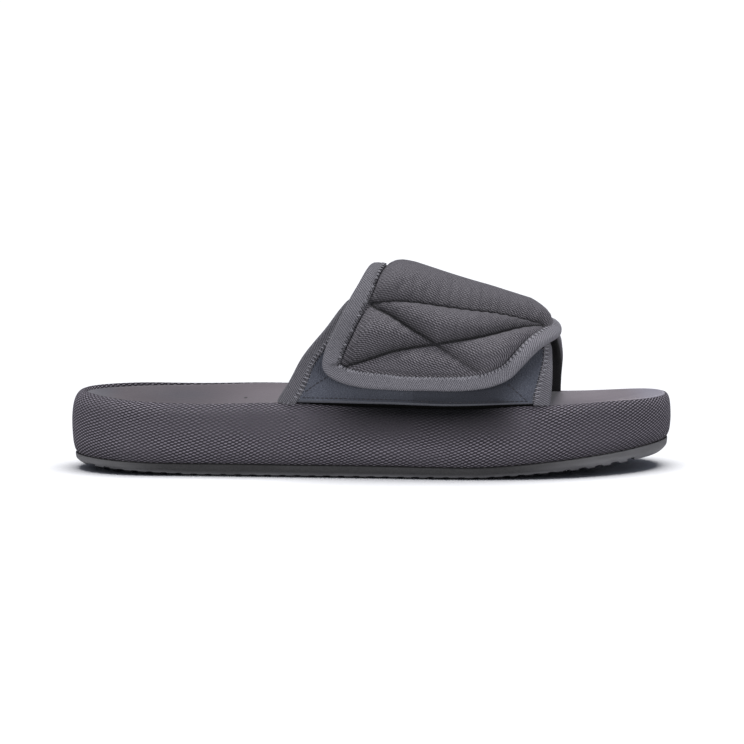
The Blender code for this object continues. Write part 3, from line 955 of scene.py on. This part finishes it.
def onFabric(x, around):
    # where a point lies in the cloth: along the foot, and down from the ridge
    share = np.clip((x - fabric["start"]) / (fabric["end"] - fabric["start"]), 0, 1)
    climb = gridValue(fabricClimb, share * fabric["columns"], np.clip(around, 0, 1) * fabric["rows"])
    tuck = fabric["tuck"] * tuckedIn(around)
    return np.stack([x * fabric["stretch"], climb + np.where(around > 0.5, tuck, -tuck)], axis=-1)


# insole: a dished footbed in the recess
bedShape = {
    "edge": 0.9,
    "shorten": 0.35,
    "dishPower": 2.4,
    "slotRamp": 4.0,
    "slotPlay": 1.5,
    "rings": 44,
    "sideRows": 3,
    "cornerRows": 3,
    "dent": 0.25,
    "dentSize": 14,
    "heelCentre": -101,
    "heelRadius": 33,
    "heelShade": 0.8,
    "heelShadeEnd": (-133, -118),
    "cupAt": (-92, 24),
    "cupSize": (17, 7),
    "cupShade": 0.55,
    "strapShade": 0.5,
    "strapShadeFrom": 70,
    "strapShadeEnd": (88, 110),
}


def bedInset(x, side):
    zero, one = np.zeros(1), np.ones(1)
    rear = np.where(side < 0, tabEdge("rear", zero), strapEdge("rear", one)) - bedShape["slotPlay"]
    front = np.where(side < 0, tabEdge("front", zero), strapEdge("front", one)) + bedShape["slotPlay"]
    ramp = bedShape["slotRamp"]
    slot = within(x, rear - ramp, rear, front, front + ramp)
    shut = seamInset(x) + gap + 0.1
    opened = upper["inset"] - upper["tuckLift"] + 1.4 * gap
    return shut * (1 - slot) + opened * slot


def bedHeight(x, y, shrink):
    dish = soleAt("seat", x) * (1 - shrink ** bedShape["dishPower"])
    return rimHeight(x, y) + soleAt("bedEdge", x) - dish


def makeInsole():
    shape = bedShape
    topRow = shape["sideRows"] + shape["cornerRows"]
    lastRow = topRow + shape["rings"]

    def bed(turn, row):
        planX = planPoint(turn)[:, 0]
        corner = np.clip((row - shape["sideRows"]) / shape["cornerRows"], 0, 1) * math.pi / 2
        inset = bedInset(planX, np.where(turn % 1 < 0.5, lateral, medial))
        x, y = insetPoint(turn, inset + shape["edge"] * (1 - np.cos(corner))).T
        rise = np.clip(row / shape["sideRows"], 0, 1)
        low = soleAt("floor", x) + gap
        top = bedHeight(x, y, np.ones_like(x))
        z = low + rise * (top - shape["edge"] - low) + shape["edge"] * np.sin(corner)
        inner = np.clip((row - topRow) / shape["rings"], 0, 1)
        shrink = 1 - 0.98 * inner
        newX = x * (1 - shape["shorten"] * (1 - shrink))
        newY = soleAt("centre", newX) + (y - soleAt("centre", x)) * shrink
        dent = shape["dent"] * ripple(newX, newY, shape["dentSize"]) * ease(inner, 0, 0.3)
        newZ = np.where(inner > 0, bedHeight(newX, newY, shrink) + dent, z)
        return np.stack([newX, newY, newZ], axis=-1)

    def shade(x, y, z):
        # painted shade: the heel end, a band in the heel cup and the bed in front of the strap
        fromCentre = np.hypot(np.minimum(x - shape["heelCentre"], 0), y) / shape["heelRadius"]
        heelEnd = shape["heelShade"] * ease(fromCentre, 0.7, 0.95) * (1 - ease(x, *shape["heelShadeEnd"]))
        cupX = (x - shape["cupAt"][0]) / shape["cupSize"][0]
        cupY = (y - shape["cupAt"][1]) / shape["cupSize"][1]
        cup = shape["cupShade"] * np.exp(-(cupX**2) - cupY**2)
        underStrap = (1 - ease(x, *shape["strapShadeEnd"])) * (x > shape["strapShadeFrom"])
        return np.max([heelEnd, cup, shape["strapShade"] * underStrap], axis=0)

    bm = newMesh()
    verts = ringSkin(bm, lastRow, bed)
    ladderCap(bm, capRows, ringAt(bed, 0), lambda x, y, z: soleAt("floor", x) + gap)
    ladderCap(bm, 2, ringAt(bed, lastRow), lambda x, y, z: z)
    paint(bm, verts, shade)
    return finishPiece("footbed", bm, [footbed], "insole")


makeInsole()


# strap: padded band, quilted on the flap
quilt = {
    "thickness": 6.7,
    "seam": 0.9,
    "boundThickness": 1.0,
    "boundLift": 1.4,
    "edgeReach": 8.0,
    "seamReach": 12.0,
    "columns": 168,
    "rows": 288,
    "topSeam": [(0, 0.256), (23, 0.276), (42, 0.292), (60, 0.311), (79, 0.325)],
    "forwardSeam": [(0, 0.250), (15, 0.199), (30, 0.159), (50, 0.096)],
    "backwardSeam": [(79, 0.316), (57, 0.220), (33, 0.162), (-14, 0.074)],
    "seamSteps": 40,
    "pucker": 0.35,
    "puckerReach": 4.0,
    "puckerPitch": 5.2,
    "edgePlay": 0.6,
    "thinnerRidge": 0.27,
    "uneven": 0.25,
    "unevenSize": 11,
    "sag": 2.2,
}
tape = {
    "width": 6.7,
    "fold": 1.6,
    "foldRound": 1.9,
    "height": 4.0,
    "wall": 0.6,
    "cavity": 1.7,
    "overPatch": 0.75,
    "faceRows": 8,
    "foldRows": 11,
    "step": 0.75,
    "rearExtra": 2.2,  # how much broader or narrower it shows in places
    "rearCornerExtra": 1.2,
    "toeCornerLess": 1.8,
    "tabRearExtra": 1.7,
    "tabFrontExtra": 3.4,
    "tabFrontLess": 1.5,
}


def strapReach(x, around):
    # the strap's tape is broad down the rear of the flap and slips under the padding at the front corner
    rear = within(around, 0.05, 0.12, 0.42, 0.52) * (1 - ease(x, 12, 30))
    rearCorner = (1 - ease(around, 0.06, 0.12)) * (1 - ease(x, 0, 26))
    toeCorner = within(around, 0.27, 0.33, 0.42, 0.50) * ease(x, 45, 65)
    extra = tape["rearExtra"] * rear + tape["rearCornerExtra"] * rearCorner
    return tape["width"] + extra - tape["toeCornerLess"] * toeCorner


def tabReach(x, around):
    # the tab's tape broadens towards the sole
    rear = tape["tabRearExtra"] * (1 - ease(around, 0.02, 0.12))
    front = tape["tabFrontExtra"] * (1 - ease(around, 0.02, 0.20)) - tape["tabFrontLess"]
    return tape["width"] + np.where(x < 20, rear, front)


def seamPath(points, steps):
    at = np.linspace(0, len(points) - 1, steps)
    marks = np.arange(len(points))
    x = smoothTable(marks, [p[0] for p in points], at)
    around = smoothTable(marks, [p[1] for p in points], at)
    return x, around


def pillow(distance, reach):
    t = np.clip(distance / reach, 0, 1)
    bow = 1 - (1 - t) ** 2
    return 0.4 * bow + 0.6 * np.sqrt(bow)


strapLine = arch(*strapBorder(1.5)[:2])
tabLine = arch(*tabBorder(1.5)[:2])
seamNames = ("topSeam", "forwardSeam", "backwardSeam")
seams = {name: seamPath(quilt[name], quilt["seamSteps"]) for name in seamNames}
seamLines = {name: arch(*path) for name, path in seams.items()}


def insideTape(x, around, border, reachAt):
    # how far in past the tape's inner edge a point of the cloth lies
    return lineDistance(arch(x, around), border)[0] - reachAt(x, around) + tape["fold"]


def aboveSeam(name, x, around):
    # how far above a seam, as a share of the arch
    seamX, seamAround = seams[name]
    order = np.argsort(seamX)
    return around - np.interp(x, seamX[order], seamAround[order])


def boundLayers(x, around, lift, thickness, border, reachAt):
    # lower and upper face of a sheet that thins under its tape and where it goes down at the seam
    free = ease(insideTape(x, around, border, reachAt), -0.4, 1.4)
    rooted = 1 - ease(seamClearance(x, around), 0.5, upper["tuckFade"])
    low = lift + quilt["boundLift"] * (1 - free)
    deep = quilt["boundThickness"] + (thickness - quilt["boundThickness"]) * free
    low = low + (upper["tuckLift"] - low) * rooted
    deep = deep + (upper["tuckThickness"] - deep) * rooted
    return low, low + deep


def strapLayers(x, around):
    points = arch(x, around)
    toeSide = ease(around, 0.26, 0.34) * ease(x, 30, 60)
    inside = insideTape(x, around, strapLine, strapReach) + quilt["edgePlay"] * (1 + toeSide)
    swell = pillow(np.maximum(inside, 0), quilt["edgeReach"] - 0.8 * toeSide)
    aboveTop = ease(aboveSeam("topSeam", x, around), -0.004, 0.004)
    pucker = np.zeros(len(x))
    for name, line in seamLines.items():
        distance, along = lineDistance(points, line)
        reach = quilt["seamReach"]
        if name == "topSeam":
            reach = reach * (1.15 - 0.5 * aboveTop)
        swell = swell * (0.04 + 0.96 * pillow(distance, reach))
        pull = np.exp(-distance / quilt["puckerReach"]) * pillow(distance, 2.5)
        pucker = pucker + pull * np.sin(along * 2 * math.pi / quilt["puckerPitch"] + 1.7 * np.sin(along / 9))
    crown = 1 - quilt["thinnerRidge"] * ease(around, 0.34, 0.45)
    thickness = quilt["seam"] + (quilt["thickness"] - quilt["seam"]) * swell * crown
    uneven = quilt["uneven"] * swell * ripple(x, around * 230, quilt["unevenSize"])
    thickness = thickness + quilt["pucker"] * pucker + uneven
    return boundLayers(x, around, strapLift(around), thickness, strapLine, strapReach)


def evened(field, width):
    # running mean across the columns, so that puckers don't shake the weave
    padded = np.pad(field, ((width, width), (0, 0)), mode="edge")
    total = np.cumsum(np.concatenate([np.zeros_like(padded[:1]), padded]), axis=0)
    return (total[2 * width + 1 :] - total[: -2 * width - 1]) / (2 * width + 1)


def onPadding(points, high, i, j):
    # place in the weave of the swollen cloth, measured on it from the middle of the ridge
    columns, rows = quilt["columns"], quilt["rows"]
    band = np.empty((columns + 1, rows + 1, 4))
    band[i, j] = np.column_stack([points, high])
    down = runningLength(np.hypot(np.diff(band[:, :, 1]), np.diff(band[:, :, 2])), 1)
    ridge = np.argmax(band[:, :, 2].mean(axis=0))
    down = evened(down - down[:, ridge : ridge + 1], 6)
    along = runningLength(np.hypot(np.diff(band[:, :, 0], axis=0), np.diff(band[:, :, 3], axis=0)), 0)
    middle = columns // 2
    along = along - along[middle : middle + 1] + band[middle : middle + 1, :, 0]
    return np.stack([along[i, j], down[i, j]], axis=-1)


def overhang(x, around):
    # the padding above the top seam rolls down over it
    distance = lineDistance(arch(x, around), seamLines["topSeam"])[0]
    above = aboveSeam("topSeam", x, around) > 0
    return above * within(x, 0, 8, 66, 80) * np.exp(-(((distance - 2.6) / 2.0) ** 2))


def seamShade(x, around):
    # painted shade, dark under the padding above each seam, and a thin painted dark line along it
    points = arch(x, around)
    shade = np.zeros(len(x))
    for name, line in seamLines.items():
        distance = lineDistance(points, line)[0]
        under = 0.85 * np.exp(-distance / 3.0) * (aboveSeam(name, x, around) > 0)
        seamLineShade = 0.95 * (1 - ease(distance, 0.3, 1.1))
        faint = 0.6 * (name == "forwardSeam") * ease(x, 30, 40)
        shade = np.maximum(shade, (1 - faint) * np.maximum(under, seamLineShade))
    return shade


def strapGrid(i, j):
    rows = quilt["rows"]
    tucked = np.clip(j - (rows - 4), 0, 4) / 4
    around = flapEnd + (1 - flapEnd) * np.clip(j / (rows - 4), 0, 1) ** 1.35
    rear, front = strapEdge("rear", around), strapEdge("front", around)
    x = rear + (front - rear) * i / quilt["columns"]
    return x, around - flapDrop(x, around) + tucked


# the cover as cloth: a little loose, pushed out by the padding, held at its seams, tape and root
cushion = {
    "step": 2,  # cells of the padding to one of the cloth
    "enlarge": 10.0,
    "frames": 16,
    "most": 2.0,  # no point moves further than this
    "cloth": {
        "vertex_group_mass": "held",
        "mass": 0.02,
        "use_pressure": True,
        "uniform_pressure_force": 3.5,
        "shrink_min": -0.014,
        "tension_stiffness": 12.0,
        "compression_stiffness": 12.0,
        "bending_stiffness": 1.2,
        "air_damping": 4.0,
    },
}


def heldAt(x, around):
    points = arch(x, around)
    inside = insideTape(x, around, strapLine, strapReach)
    held = np.maximum(1 - ease(inside, 0.4, 2.0), 1 - ease(seamClearance(x, around), 4, 12))
    for line in seamLines.values():
        held = np.maximum(held, 1 - ease(lineDistance(points, line)[0], 0.8, 1.8))
    return held


def cushioned(points, held, i, j):
    columns, rows, step = quilt["columns"], quilt["rows"], cushion["step"]
    size = cushion["enlarge"] * mm
    fine = np.empty((columns + 1, rows + 1, 4))
    fine[i, j] = np.column_stack([points, held])
    bm = bmesh.new()
    verts, a, b = flatGrid(bm, columns // step, rows // step)
    coarse = fine[a * step, b * step]
    start = coarse[:, :3]
    for vert, point in zip(verts, start * size):
        vert.co = point
    cover = newObject("cover", bm)
    group = cover.vertex_groups.new(name="held")
    for index, weight in enumerate(coarse[:, 3]):
        if weight > 0:
            group.add([index], float(weight), "REPLACE")
    cloth = cover.modifiers.new("cloth", "CLOTH")
    for key, value in cushion["cloth"].items():
        setattr(cloth.settings, key, value)
    cloth.settings.effector_weights.gravity = 0
    cloth.collision_settings.use_collision = False
    cloth.point_cache.frame_end = cushion["frames"]
    scene = bpy.context.scene
    for tick in range(1, cushion["frames"] + 1):
        scene.frame_set(tick)
    result = cover.evaluated_get(bpy.context.evaluated_depsgraph_get()).data
    moved = np.array([vert.co for vert in result.vertices]) / size - start
    far = np.linalg.norm(moved, axis=1)
    print(f"cover settled: mean move {far.mean():.2f} mm, most {far.max():.2f} mm")
    field = np.empty((columns // step + 1, rows // step + 1, 3))
    field[a, b] = moved * np.minimum(1, cushion["most"] / np.maximum(far, 1e-9))[:, None]
    bpy.data.objects.remove(cover)
    scene.frame_set(1)
    return points + gridValue(field, i / step, j / step)


def makeStrap():
    def outer(i, j):
        x, around = strapGrid(i, j)
        high = strapLayers(x, around)[1]
        points = lifted(x, around, high)
        points[:, 2] -= quilt["sag"] * overhang(x, around)
        weave = onPadding(points, high, i, j)
        return cushioned(points, heldAt(x, around), i, j), weave, seamShade(x, around)

    def inner(i, j):
        x, around = strapGrid(i, j)
        return lifted(x, around, strapLayers(x, around)[0]), onFabric(x, around), np.zeros(len(x))

    bm = newMesh()
    doubleSkin(bm, quilt["columns"], quilt["rows"], outer, inner, innerMaterial=1)
    piece = finishPiece("quiltedStrap", bm, [strapNylon, strapLining], "strap")
    return piece


makeStrap()


# ribbed tape folded over the free edges
def cornerFlat(x, around):
    # the strap's tape is pressed flat where it turns at the front
    return 1 - 0.25 * within(around, 0.29, 0.35, 0.46, 0.54) * ease(x, 45, 65)


def borderFrame(x, around, liftAt):
    points = lifted(x, around, liftAt(around))
    tangent = unit(np.gradient(points, axis=0))
    outward = unit(np.cross(tangent, archFrame(x, around)[2]))
    return points, tangent, outward


def inFromFold(x, around, outward, inward):
    # the place on the arch that lies inward of the tape's fold
    return slide(x, around, outward * (tape["fold"] - inward)[:, None])


def tapeProfile(over):
    # from the stitched inner edge of the outer face, round the fold, to the inner edge of the lower face;
    # over is how far the stitched edge climbs onto a patch
    width, height, wall, fold = tape["width"], tape["height"], tape["wall"], tape["foldRound"]
    turn = np.linspace(0, math.pi, tape["foldRows"])
    foldIn = fold - fold * np.sin(turn)
    foldHigh = height / 2 + (height / 2) * np.cos(turn)
    face = np.linspace(width, fold, tape["faceRows"] + 1)[:-1]
    fall = 0.55 * ease(face, 3.5, width - 0.6) + 0.35 * ease(face, width - 0.9, width)
    crown = height - fall * (over == 0) + over * ease(face, 2.5, 6.3)
    inward = np.concatenate([face, foldIn, face[::-1]])
    high = np.concatenate([crown, foldHigh, np.zeros(tape["faceRows"])])
    inside = height - wall - 0.5
    back = np.array([width, tape["cavity"], tape["cavity"], width])
    backHigh = np.array([wall, wall, inside, inside + 2.1 * over])
    return np.concatenate([inward, back]), np.concatenate([high, backHigh])


def makeTape(name, border, liftAt, reachAt, over, node):
    x, around, passed = border(tape["step"])
    inward, high = tapeProfile(over)
    loop = len(inward)
    points, tangent, outward = borderFrame(x, around, liftAt)
    last = len(x) - 1
    fold = tape["foldRound"]
    broader = (reachAt(x, around) - fold) / (tape["width"] - fold)
    girth = runningLength(np.hypot(np.diff(inward), np.diff(high)))
    girth = np.append(girth, girth[-1] + 1)
    foldTop = tape["faceRows"] + tape["foldRows"] // 2
    foldEnd = tape["faceRows"] + tape["foldRows"]
    flat = cornerFlat(x, around)

    def onTape(i, j):
        p = i % loop
        bumpy = 0.10 * ripple(passed[j], inward[p], 5) + 0.05 * np.sin(passed[j] * 2 * math.pi / 2.6)
        face = (high[p] > 2.5) & (p < foldEnd)
        fromFold = np.where(inward[p] > fold, fold + (inward[p] - fold) * broader[j], inward[p])
        newX, newAround = inFromFold(x[j], around[j], outward[j], fromFold)
        placed = lifted(newX, newAround, liftAt(newAround) + (high[p] + bumpy * face) * flat[j])
        ends = (j == 0) | (j == last)
        level = rimHeight(x[j], points[j][:, 1]) + 1.5 * gap
        drop = np.where(ends, (level - placed[:, 2]) / np.where(ends, tangent[j][:, 2], 1), 0)
        weave = np.stack([passed[j], girth[i]], axis=-1)
        # painted shade: a dark line at the inner edge, the underside, a darker rear, and the far side's inner
        # face
        shade = 0.5 * ease(inward[p], tape["width"] - 0.5, tape["width"])
        shade = np.where((p >= foldEnd) & (inward[p] > 1.0), 1.0, shade)
        paintedTapeShade = np.where(x[j] < 12, 0.22 * ease(around[j], 0.08, 0.16), 0.0)
        paintedTapeShade = np.where(over > 0, np.where(x[j] < 12, 0.32, 0.15), paintedTapeShade) * (p <= foldTop)
        shade = np.maximum(shade, paintedTapeShade)
        farSideShade = np.where(p > foldTop + 1, 1.0, 0.45 + 0.5 * ease(around[j], 0.72, 0.93))
        shade = np.where((p >= foldTop) & (around[j] > 0.6), farSideShade, shade)
        return placed + drop[:, None] * tangent[j], weave, shade

    bm = newMesh()
    addGrid(bm, loop, last, onTape)
    bmesh.ops.remove_doubles(bm, verts=bm.verts, dist=weldDistance * mm)
    bmesh.ops.holes_fill(bm, edges=bm.edges, sides=0)
    return finishPiece(name, bm, [bindingTape], node)


makeTape("strapTape", strapBorder, strapLift, strapReach, 0.0, "strap_binding")
makeTape("tabTape", tabBorder, noLift, tabReach, tape["overPatch"], "tab_binding")


# closure tab on the lateral side and the loop patch that the flap closes on
tab = {"thickness": 3.0, "columns": 120, "rows": 64}
patch = {
    "thickness": 1.0,
    "lift": 3.45,
    "margin": 4.4,
    "foot": 0.003,
    "footRise": 0.007,
    "top": tabTop - 0.080,
    # painted shade under the flap, rear to front
    "shadeAt": [-26, -6, 20, 36, 50, 60, 71],
    "shade": [0, 0.45, 0.62, 0.82, 1.0, 0.75, 0],
    "nap": 0.12,
    "napSize": 2.2,
    "cutBelow": 40.5,  # the patch shows a cut edge below this height
    "columns": 110,
    "rows": 66,
}


def tabGrid(i, j):
    tucked = np.clip(4 - j, 0, 4) / 4
    share = np.clip((j - 4) / (tab["rows"] - 4), 0, 1)
    around = tabTop * (1 - (1 - share) ** 1.3)
    rear, front = tabEdge("rear", around), tabEdge("front", around)
    return rear + (front - rear) * i / tab["columns"], around - tucked


def makeTab():
    def face(which):
        def place(i, j):
            x, around = tabGrid(i, j)
            layers = boundLayers(x, around, 0.0, tab["thickness"], tabLine, tabReach)
            # painted shade: the tab goes near black towards its root
            return lifted(x, around, layers[which]), onFabric(x, around), 1 - ease(around, 0.008, 0.02)

        return place

    bm = newMesh()
    doubleSkin(bm, tab["columns"], tab["rows"], face(1), face(0))
    return finishPiece("closureTab", bm, [tabNylon], "closure_tab")


def patchGrid(i, j):
    share = j / patch["rows"]
    around = patch["foot"] + (patch["top"] - patch["foot"]) * share
    rear, front = patchSides(around)
    x = rear + (front - rear) * i / patch["columns"]
    return x, around + footRise(x) * (1 - share)


def patchSides(around):
    rear, front = tabEdge("rear", around), tabEdge("front", around)
    inRear = patch["margin"] + tabReach(rear, around) - tape["width"]
    inFront = patch["margin"] + tabReach(front, around) - tape["width"]
    return rear + inRear, front - inFront


def footRise(x):
    return patch["footRise"] * ease(x, 30, 82)


def patchShade(x, around, below):
    # painted shade from the flap: even under the middle of the flap, deep towards the front, faint at both
    # ends
    near = 1 - ease(below, 4.0, 11.0)
    low = 1 - ease(around - patch["foot"] - footRise(x), 0.006, 0.020)
    deep = smoothTable(patch["shadeAt"], patch["shade"], x)
    ends = np.where(x < 20, 0.12, 0.55) * near
    return np.clip(deep + 0.3 * deep * low + (1 - deep) * ends, 0, 1)


def makePatch():
    def face(which):
        def place(i, j):
            x, around = patchGrid(i, j)
            nap = patch["nap"] * ripple(x, around * 210, patch["napSize"]) * which
            high = patch["lift"] + patch["thickness"] * which + nap
            below = lineDistance(arch(x, around), strapLine)[0]
            return lifted(x, around, high), onFabric(x, around), patchShade(x, around, below)

        return place

    bm = newMesh()
    rim = doubleSkin(bm, patch["columns"], patch["rows"], face(1), face(0))
    cutLine = [vert for face in rim for vert in face.verts if vert.co.z < patch["cutBelow"] * mm]
    bottomRow = {face for vert in cutLine for face in vert.link_faces}
    for face in bottomRow:
        face.material_index = 1
    return finishPiece("loopPatch", bm, [loopFabric, cutEdge], "loop_patch")


makeTab()
makePatch()


# sewing: every stitch is a short length of thread on the cloth
sewing = {
    "threadRadius": 0.16,
    "quiltPitch": 2.7,
    "zigzagPitch": 0.95,
    "zigzag": (5.0, 6.7),  # from the fold
    "tabZigzag": (4.0, 7.3),
    "patchPitch": 2.2,
    "tabThread": 0.21,
    "patchThread": 0.24,
    "patchFoot": ((-33, 74), 0.007),  # from and to along the foot, how far up
    "patchSides": [((-31.5, -17.5), (0.020, 0.062)), ((73.0, 64.0), (0.018, 0.066))],
    # in the zigzags the dark stitches are painted shade in the stitch holes; fewer pale ones at the rear is
    # painted shade
    "paleEvery": 2,
    "paleEveryRear": 7,
}


def addStitches(bm, starts, ends, radius, materialIndex=0):
    for start, end in zip(starts, ends):
        run = Vector(end - start)
        middle = Vector((start + end) / 2) * mm
        turn = run.to_track_quat("Z", "Y").to_matrix().to_4x4()
        size = Matrix.Diagonal((radius * mm, radius * mm, run.length / 2 * mm, 1))
        matrix = Matrix.Translation(middle) @ turn @ size
        made = bmesh.ops.create_uvsphere(bm, u_segments=6, v_segments=5, radius=1, matrix=matrix)
        for face in {face for vert in made["verts"] for face in vert.link_faces}:
            face.material_index = materialIndex


def rowOfStitches(bm, x, around, surface, pitch, radius, cover=0.8, materialIndex=0):
    x, around, _ = evenly(x, around, pitch)
    points = lifted(x, around, surface(x, around) + 0.5 * radius)
    step = points[1:] - points[:-1]
    trim = (1 - cover) / 2
    addStitches(bm, points[:-1] + trim * step, points[1:] - trim * step, radius, materialIndex)


def strapTop(x, around):
    return strapLayers(x, around)[1]


def patchTop(x, around):
    return np.full(len(x), patch["lift"] + patch["thickness"])


def tapeTop(liftAt, x, around, inward, over):
    profile, high = tapeProfile(over)
    rows = tape["faceRows"]
    order = np.argsort(profile[:rows])
    face = np.interp(inward, profile[:rows][order], high[:rows][order])
    return liftAt(around) + face * cornerFlat(x, around) + 0.3 * over


def zigzagPoints(border, liftAt, reachAt, over, cloth, reach, pitch):
    x, around, _ = border(pitch)
    _, _, outward = borderFrame(x, around, liftAt)
    odd = np.arange(len(x)) % 2 == 1
    inward = np.where(odd, reach[1], reach[0])
    newX, newAround = inFromFold(x, around, outward, inward + reachAt(x, around) - tape["width"])
    onCloth = inward > tape["width"]
    high = np.where(onCloth, cloth(newX, newAround), tapeTop(liftAt, newX, newAround, inward, over))
    points = lifted(newX, newAround, high + 0.12)
    clear = seamClearance(newX, newAround) > 1.5
    return points, clear, newX, newAround


def makeStrapSewing():
    bm = newMesh()
    radius, pitch = sewing["threadRadius"], sewing["quiltPitch"]
    for name in seams:
        rowOfStitches(bm, *seamPath(quilt[name], 60), strapTop, pitch, radius, materialIndex=1)
    points, clear, x, around = zigzagPoints(
        strapBorder, strapLift, strapReach, 0.0, strapTop, sewing["zigzag"], sewing["zigzagPitch"]
    )
    keep = clear[1:] & clear[:-1]
    # painted shade: the rear of the flap gets more dark stitches
    rearSide = (x[1:] < 10) & (around[1:] < 0.33)
    every = np.where(rearSide, sewing["paleEveryRear"], sewing["paleEvery"])
    pale = (np.arange(len(keep)) % every == 0) | (around[1:] < 0.075)
    for index, chosen in enumerate((keep & pale, keep & ~pale)):
        addStitches(bm, points[:-1][chosen], points[1:][chosen], radius, index)
    return finishPiece("strapStitches", bm, [paleThread, darkThreadAndShade], weld=0)


def tabSurface(x, around):
    rear, front = patchSides(np.clip(around, 0, tabTop))
    onPatch = (x > rear) & (x < front) & (around < patch["top"])
    return np.where(onPatch, patchTop(x, around), tab["thickness"])


def makeTabSewing():
    bm = newMesh()
    points, clear, _, _ = zigzagPoints(
        tabBorder, noLift, tabReach, tape["overPatch"], tabSurface, sewing["tabZigzag"], sewing["zigzagPitch"]
    )
    keep = clear[1:] & clear[:-1]
    # every other stitch dark: painted shade in the stitch holes
    odd = np.arange(len(keep)) % 2 == 1
    for index, chosen in enumerate((keep & odd, keep & ~odd)):
        addStitches(bm, points[:-1][chosen], points[1:][chosen], sewing["tabThread"], index)
    ends, up = sewing["patchFoot"]
    x = np.linspace(*ends, 80)
    rows = [(x, patch["foot"] + up + footRise(x))]
    for alongFoot, upward in sewing["patchSides"]:
        rows.append((np.linspace(*alongFoot, 30), np.linspace(*upward, 30)))
    for x, around in rows:
        rowOfStitches(bm, x, around, patchTop, sewing["patchPitch"], sewing["patchThread"], materialIndex=1)
    return finishPiece("tabStitches", bm, [greyThread, darkThreadAndShade], weld=0)


makeStrapSewing()
makeTabSewing()


# stage, camera and light
studio = {
    "elevation": 6.0,
    "distance": 2.5,
    "aim": (0, 0, 0.0465),
    "lens": 249.4,
    "floorSize": 40.0,
    "floorColor": (0.95, 0.95, 0.96, 1),
    "world": 0.18,
    "worldColor": (0.78, 0.84, 1.04, 1),
    "sun": 3.0,
    "sunSpread": 17.0,
    "sunFrom": (0.06, 0.26, 1.0),
    "floorSun": 3.2,
    "floorSunSpread": 48.0,
    "floorSunFrom": (0.06, 0.02, 1.0),
    "leftFill": (28.5, (-1.6, -1.3, 0.2)),  # power, place
    "rightFill": (24.0, (1.45, -1.4, 0.2)),
    "fillSize": (1.4, 0.3),
    "fillAim": (0, 0, 0.04),
}


def makeStage():
    bm = bmesh.new()
    bmesh.ops.create_grid(bm, x_segments=1, y_segments=1, size=studio["floorSize"])
    floor = newObject("floor", bm)
    g = Graph("pale_floor")
    g.shader.inputs["Base Color"].default_value = studio["floorColor"]
    g.shader.inputs["Roughness"].default_value = 0.9
    g.shader.inputs["Specular IOR Level"].default_value = 0.1
    floor.data.materials.append(g.material)
    floor.visible_diffuse = False  # keeps the undersides in shade
    return floor


def addThing(name, data, place, toward):
    # a lamp or the camera, looking along toward
    thing = bpy.data.objects.new(name, data)
    thing.location = place
    thing.rotation_euler = toward.to_track_quat("-Z", "Y").to_euler()
    bpy.context.scene.collection.objects.link(thing)
    return thing


def addFill(name):
    power, place = studio[name]
    data = bpy.data.lights.new(name, "AREA")
    data.energy = power
    data.shape = "RECTANGLE"
    data.size, data.size_y = studio["fillSize"]
    return addThing(name, data, place, Vector(studio["fillAim"]) - Vector(place))


def addSun(name, power, spread, comesFrom):
    data = bpy.data.lights.new(name, "SUN")
    data.energy = power
    data.angle = math.radians(spread)
    return addThing(name, data, (0, 0, 0), -Vector(comesFrom))


def linkToFloor(lamp, floor, state):
    group = bpy.data.collections.new(lamp.name + "Receivers")
    group.objects.link(floor)
    group.collection_objects[0].light_linking.link_state = state
    lamp.light_linking.receiver_collection = group


def makeStudio(floor):
    scene = bpy.context.scene
    tilt = math.radians(studio["elevation"])
    back = Vector((0, -math.cos(tilt), math.sin(tilt)))
    data = bpy.data.cameras.new("camera")
    data.lens = studio["lens"]
    data.sensor_width = 36
    data.clip_end = 100
    scene.camera = addThing("camera", data, Vector(studio["aim"]) + back * studio["distance"], -back)
    overhead = addSun("overheadSoftbox", studio["sun"], studio["sunSpread"], studio["sunFrom"])
    for lamp in (overhead, addFill("leftFill"), addFill("rightFill")):
        linkToFloor(lamp, floor, "EXCLUDE")
    above = addSun("floorSoftbox", studio["floorSun"], studio["floorSunSpread"], studio["floorSunFrom"])
    linkToFloor(above, floor, "INCLUDE")
    world = bpy.data.worlds.new("studio")
    world.use_nodes = True
    background = world.node_tree.nodes["Background"]
    background.inputs[0].default_value = studio["worldColor"]
    background.inputs[1].default_value = studio["world"]
    scene.world = world
    scene.view_settings.view_transform = "Standard"


makeStudio(makeStage())
print("stage, camera and lights set")
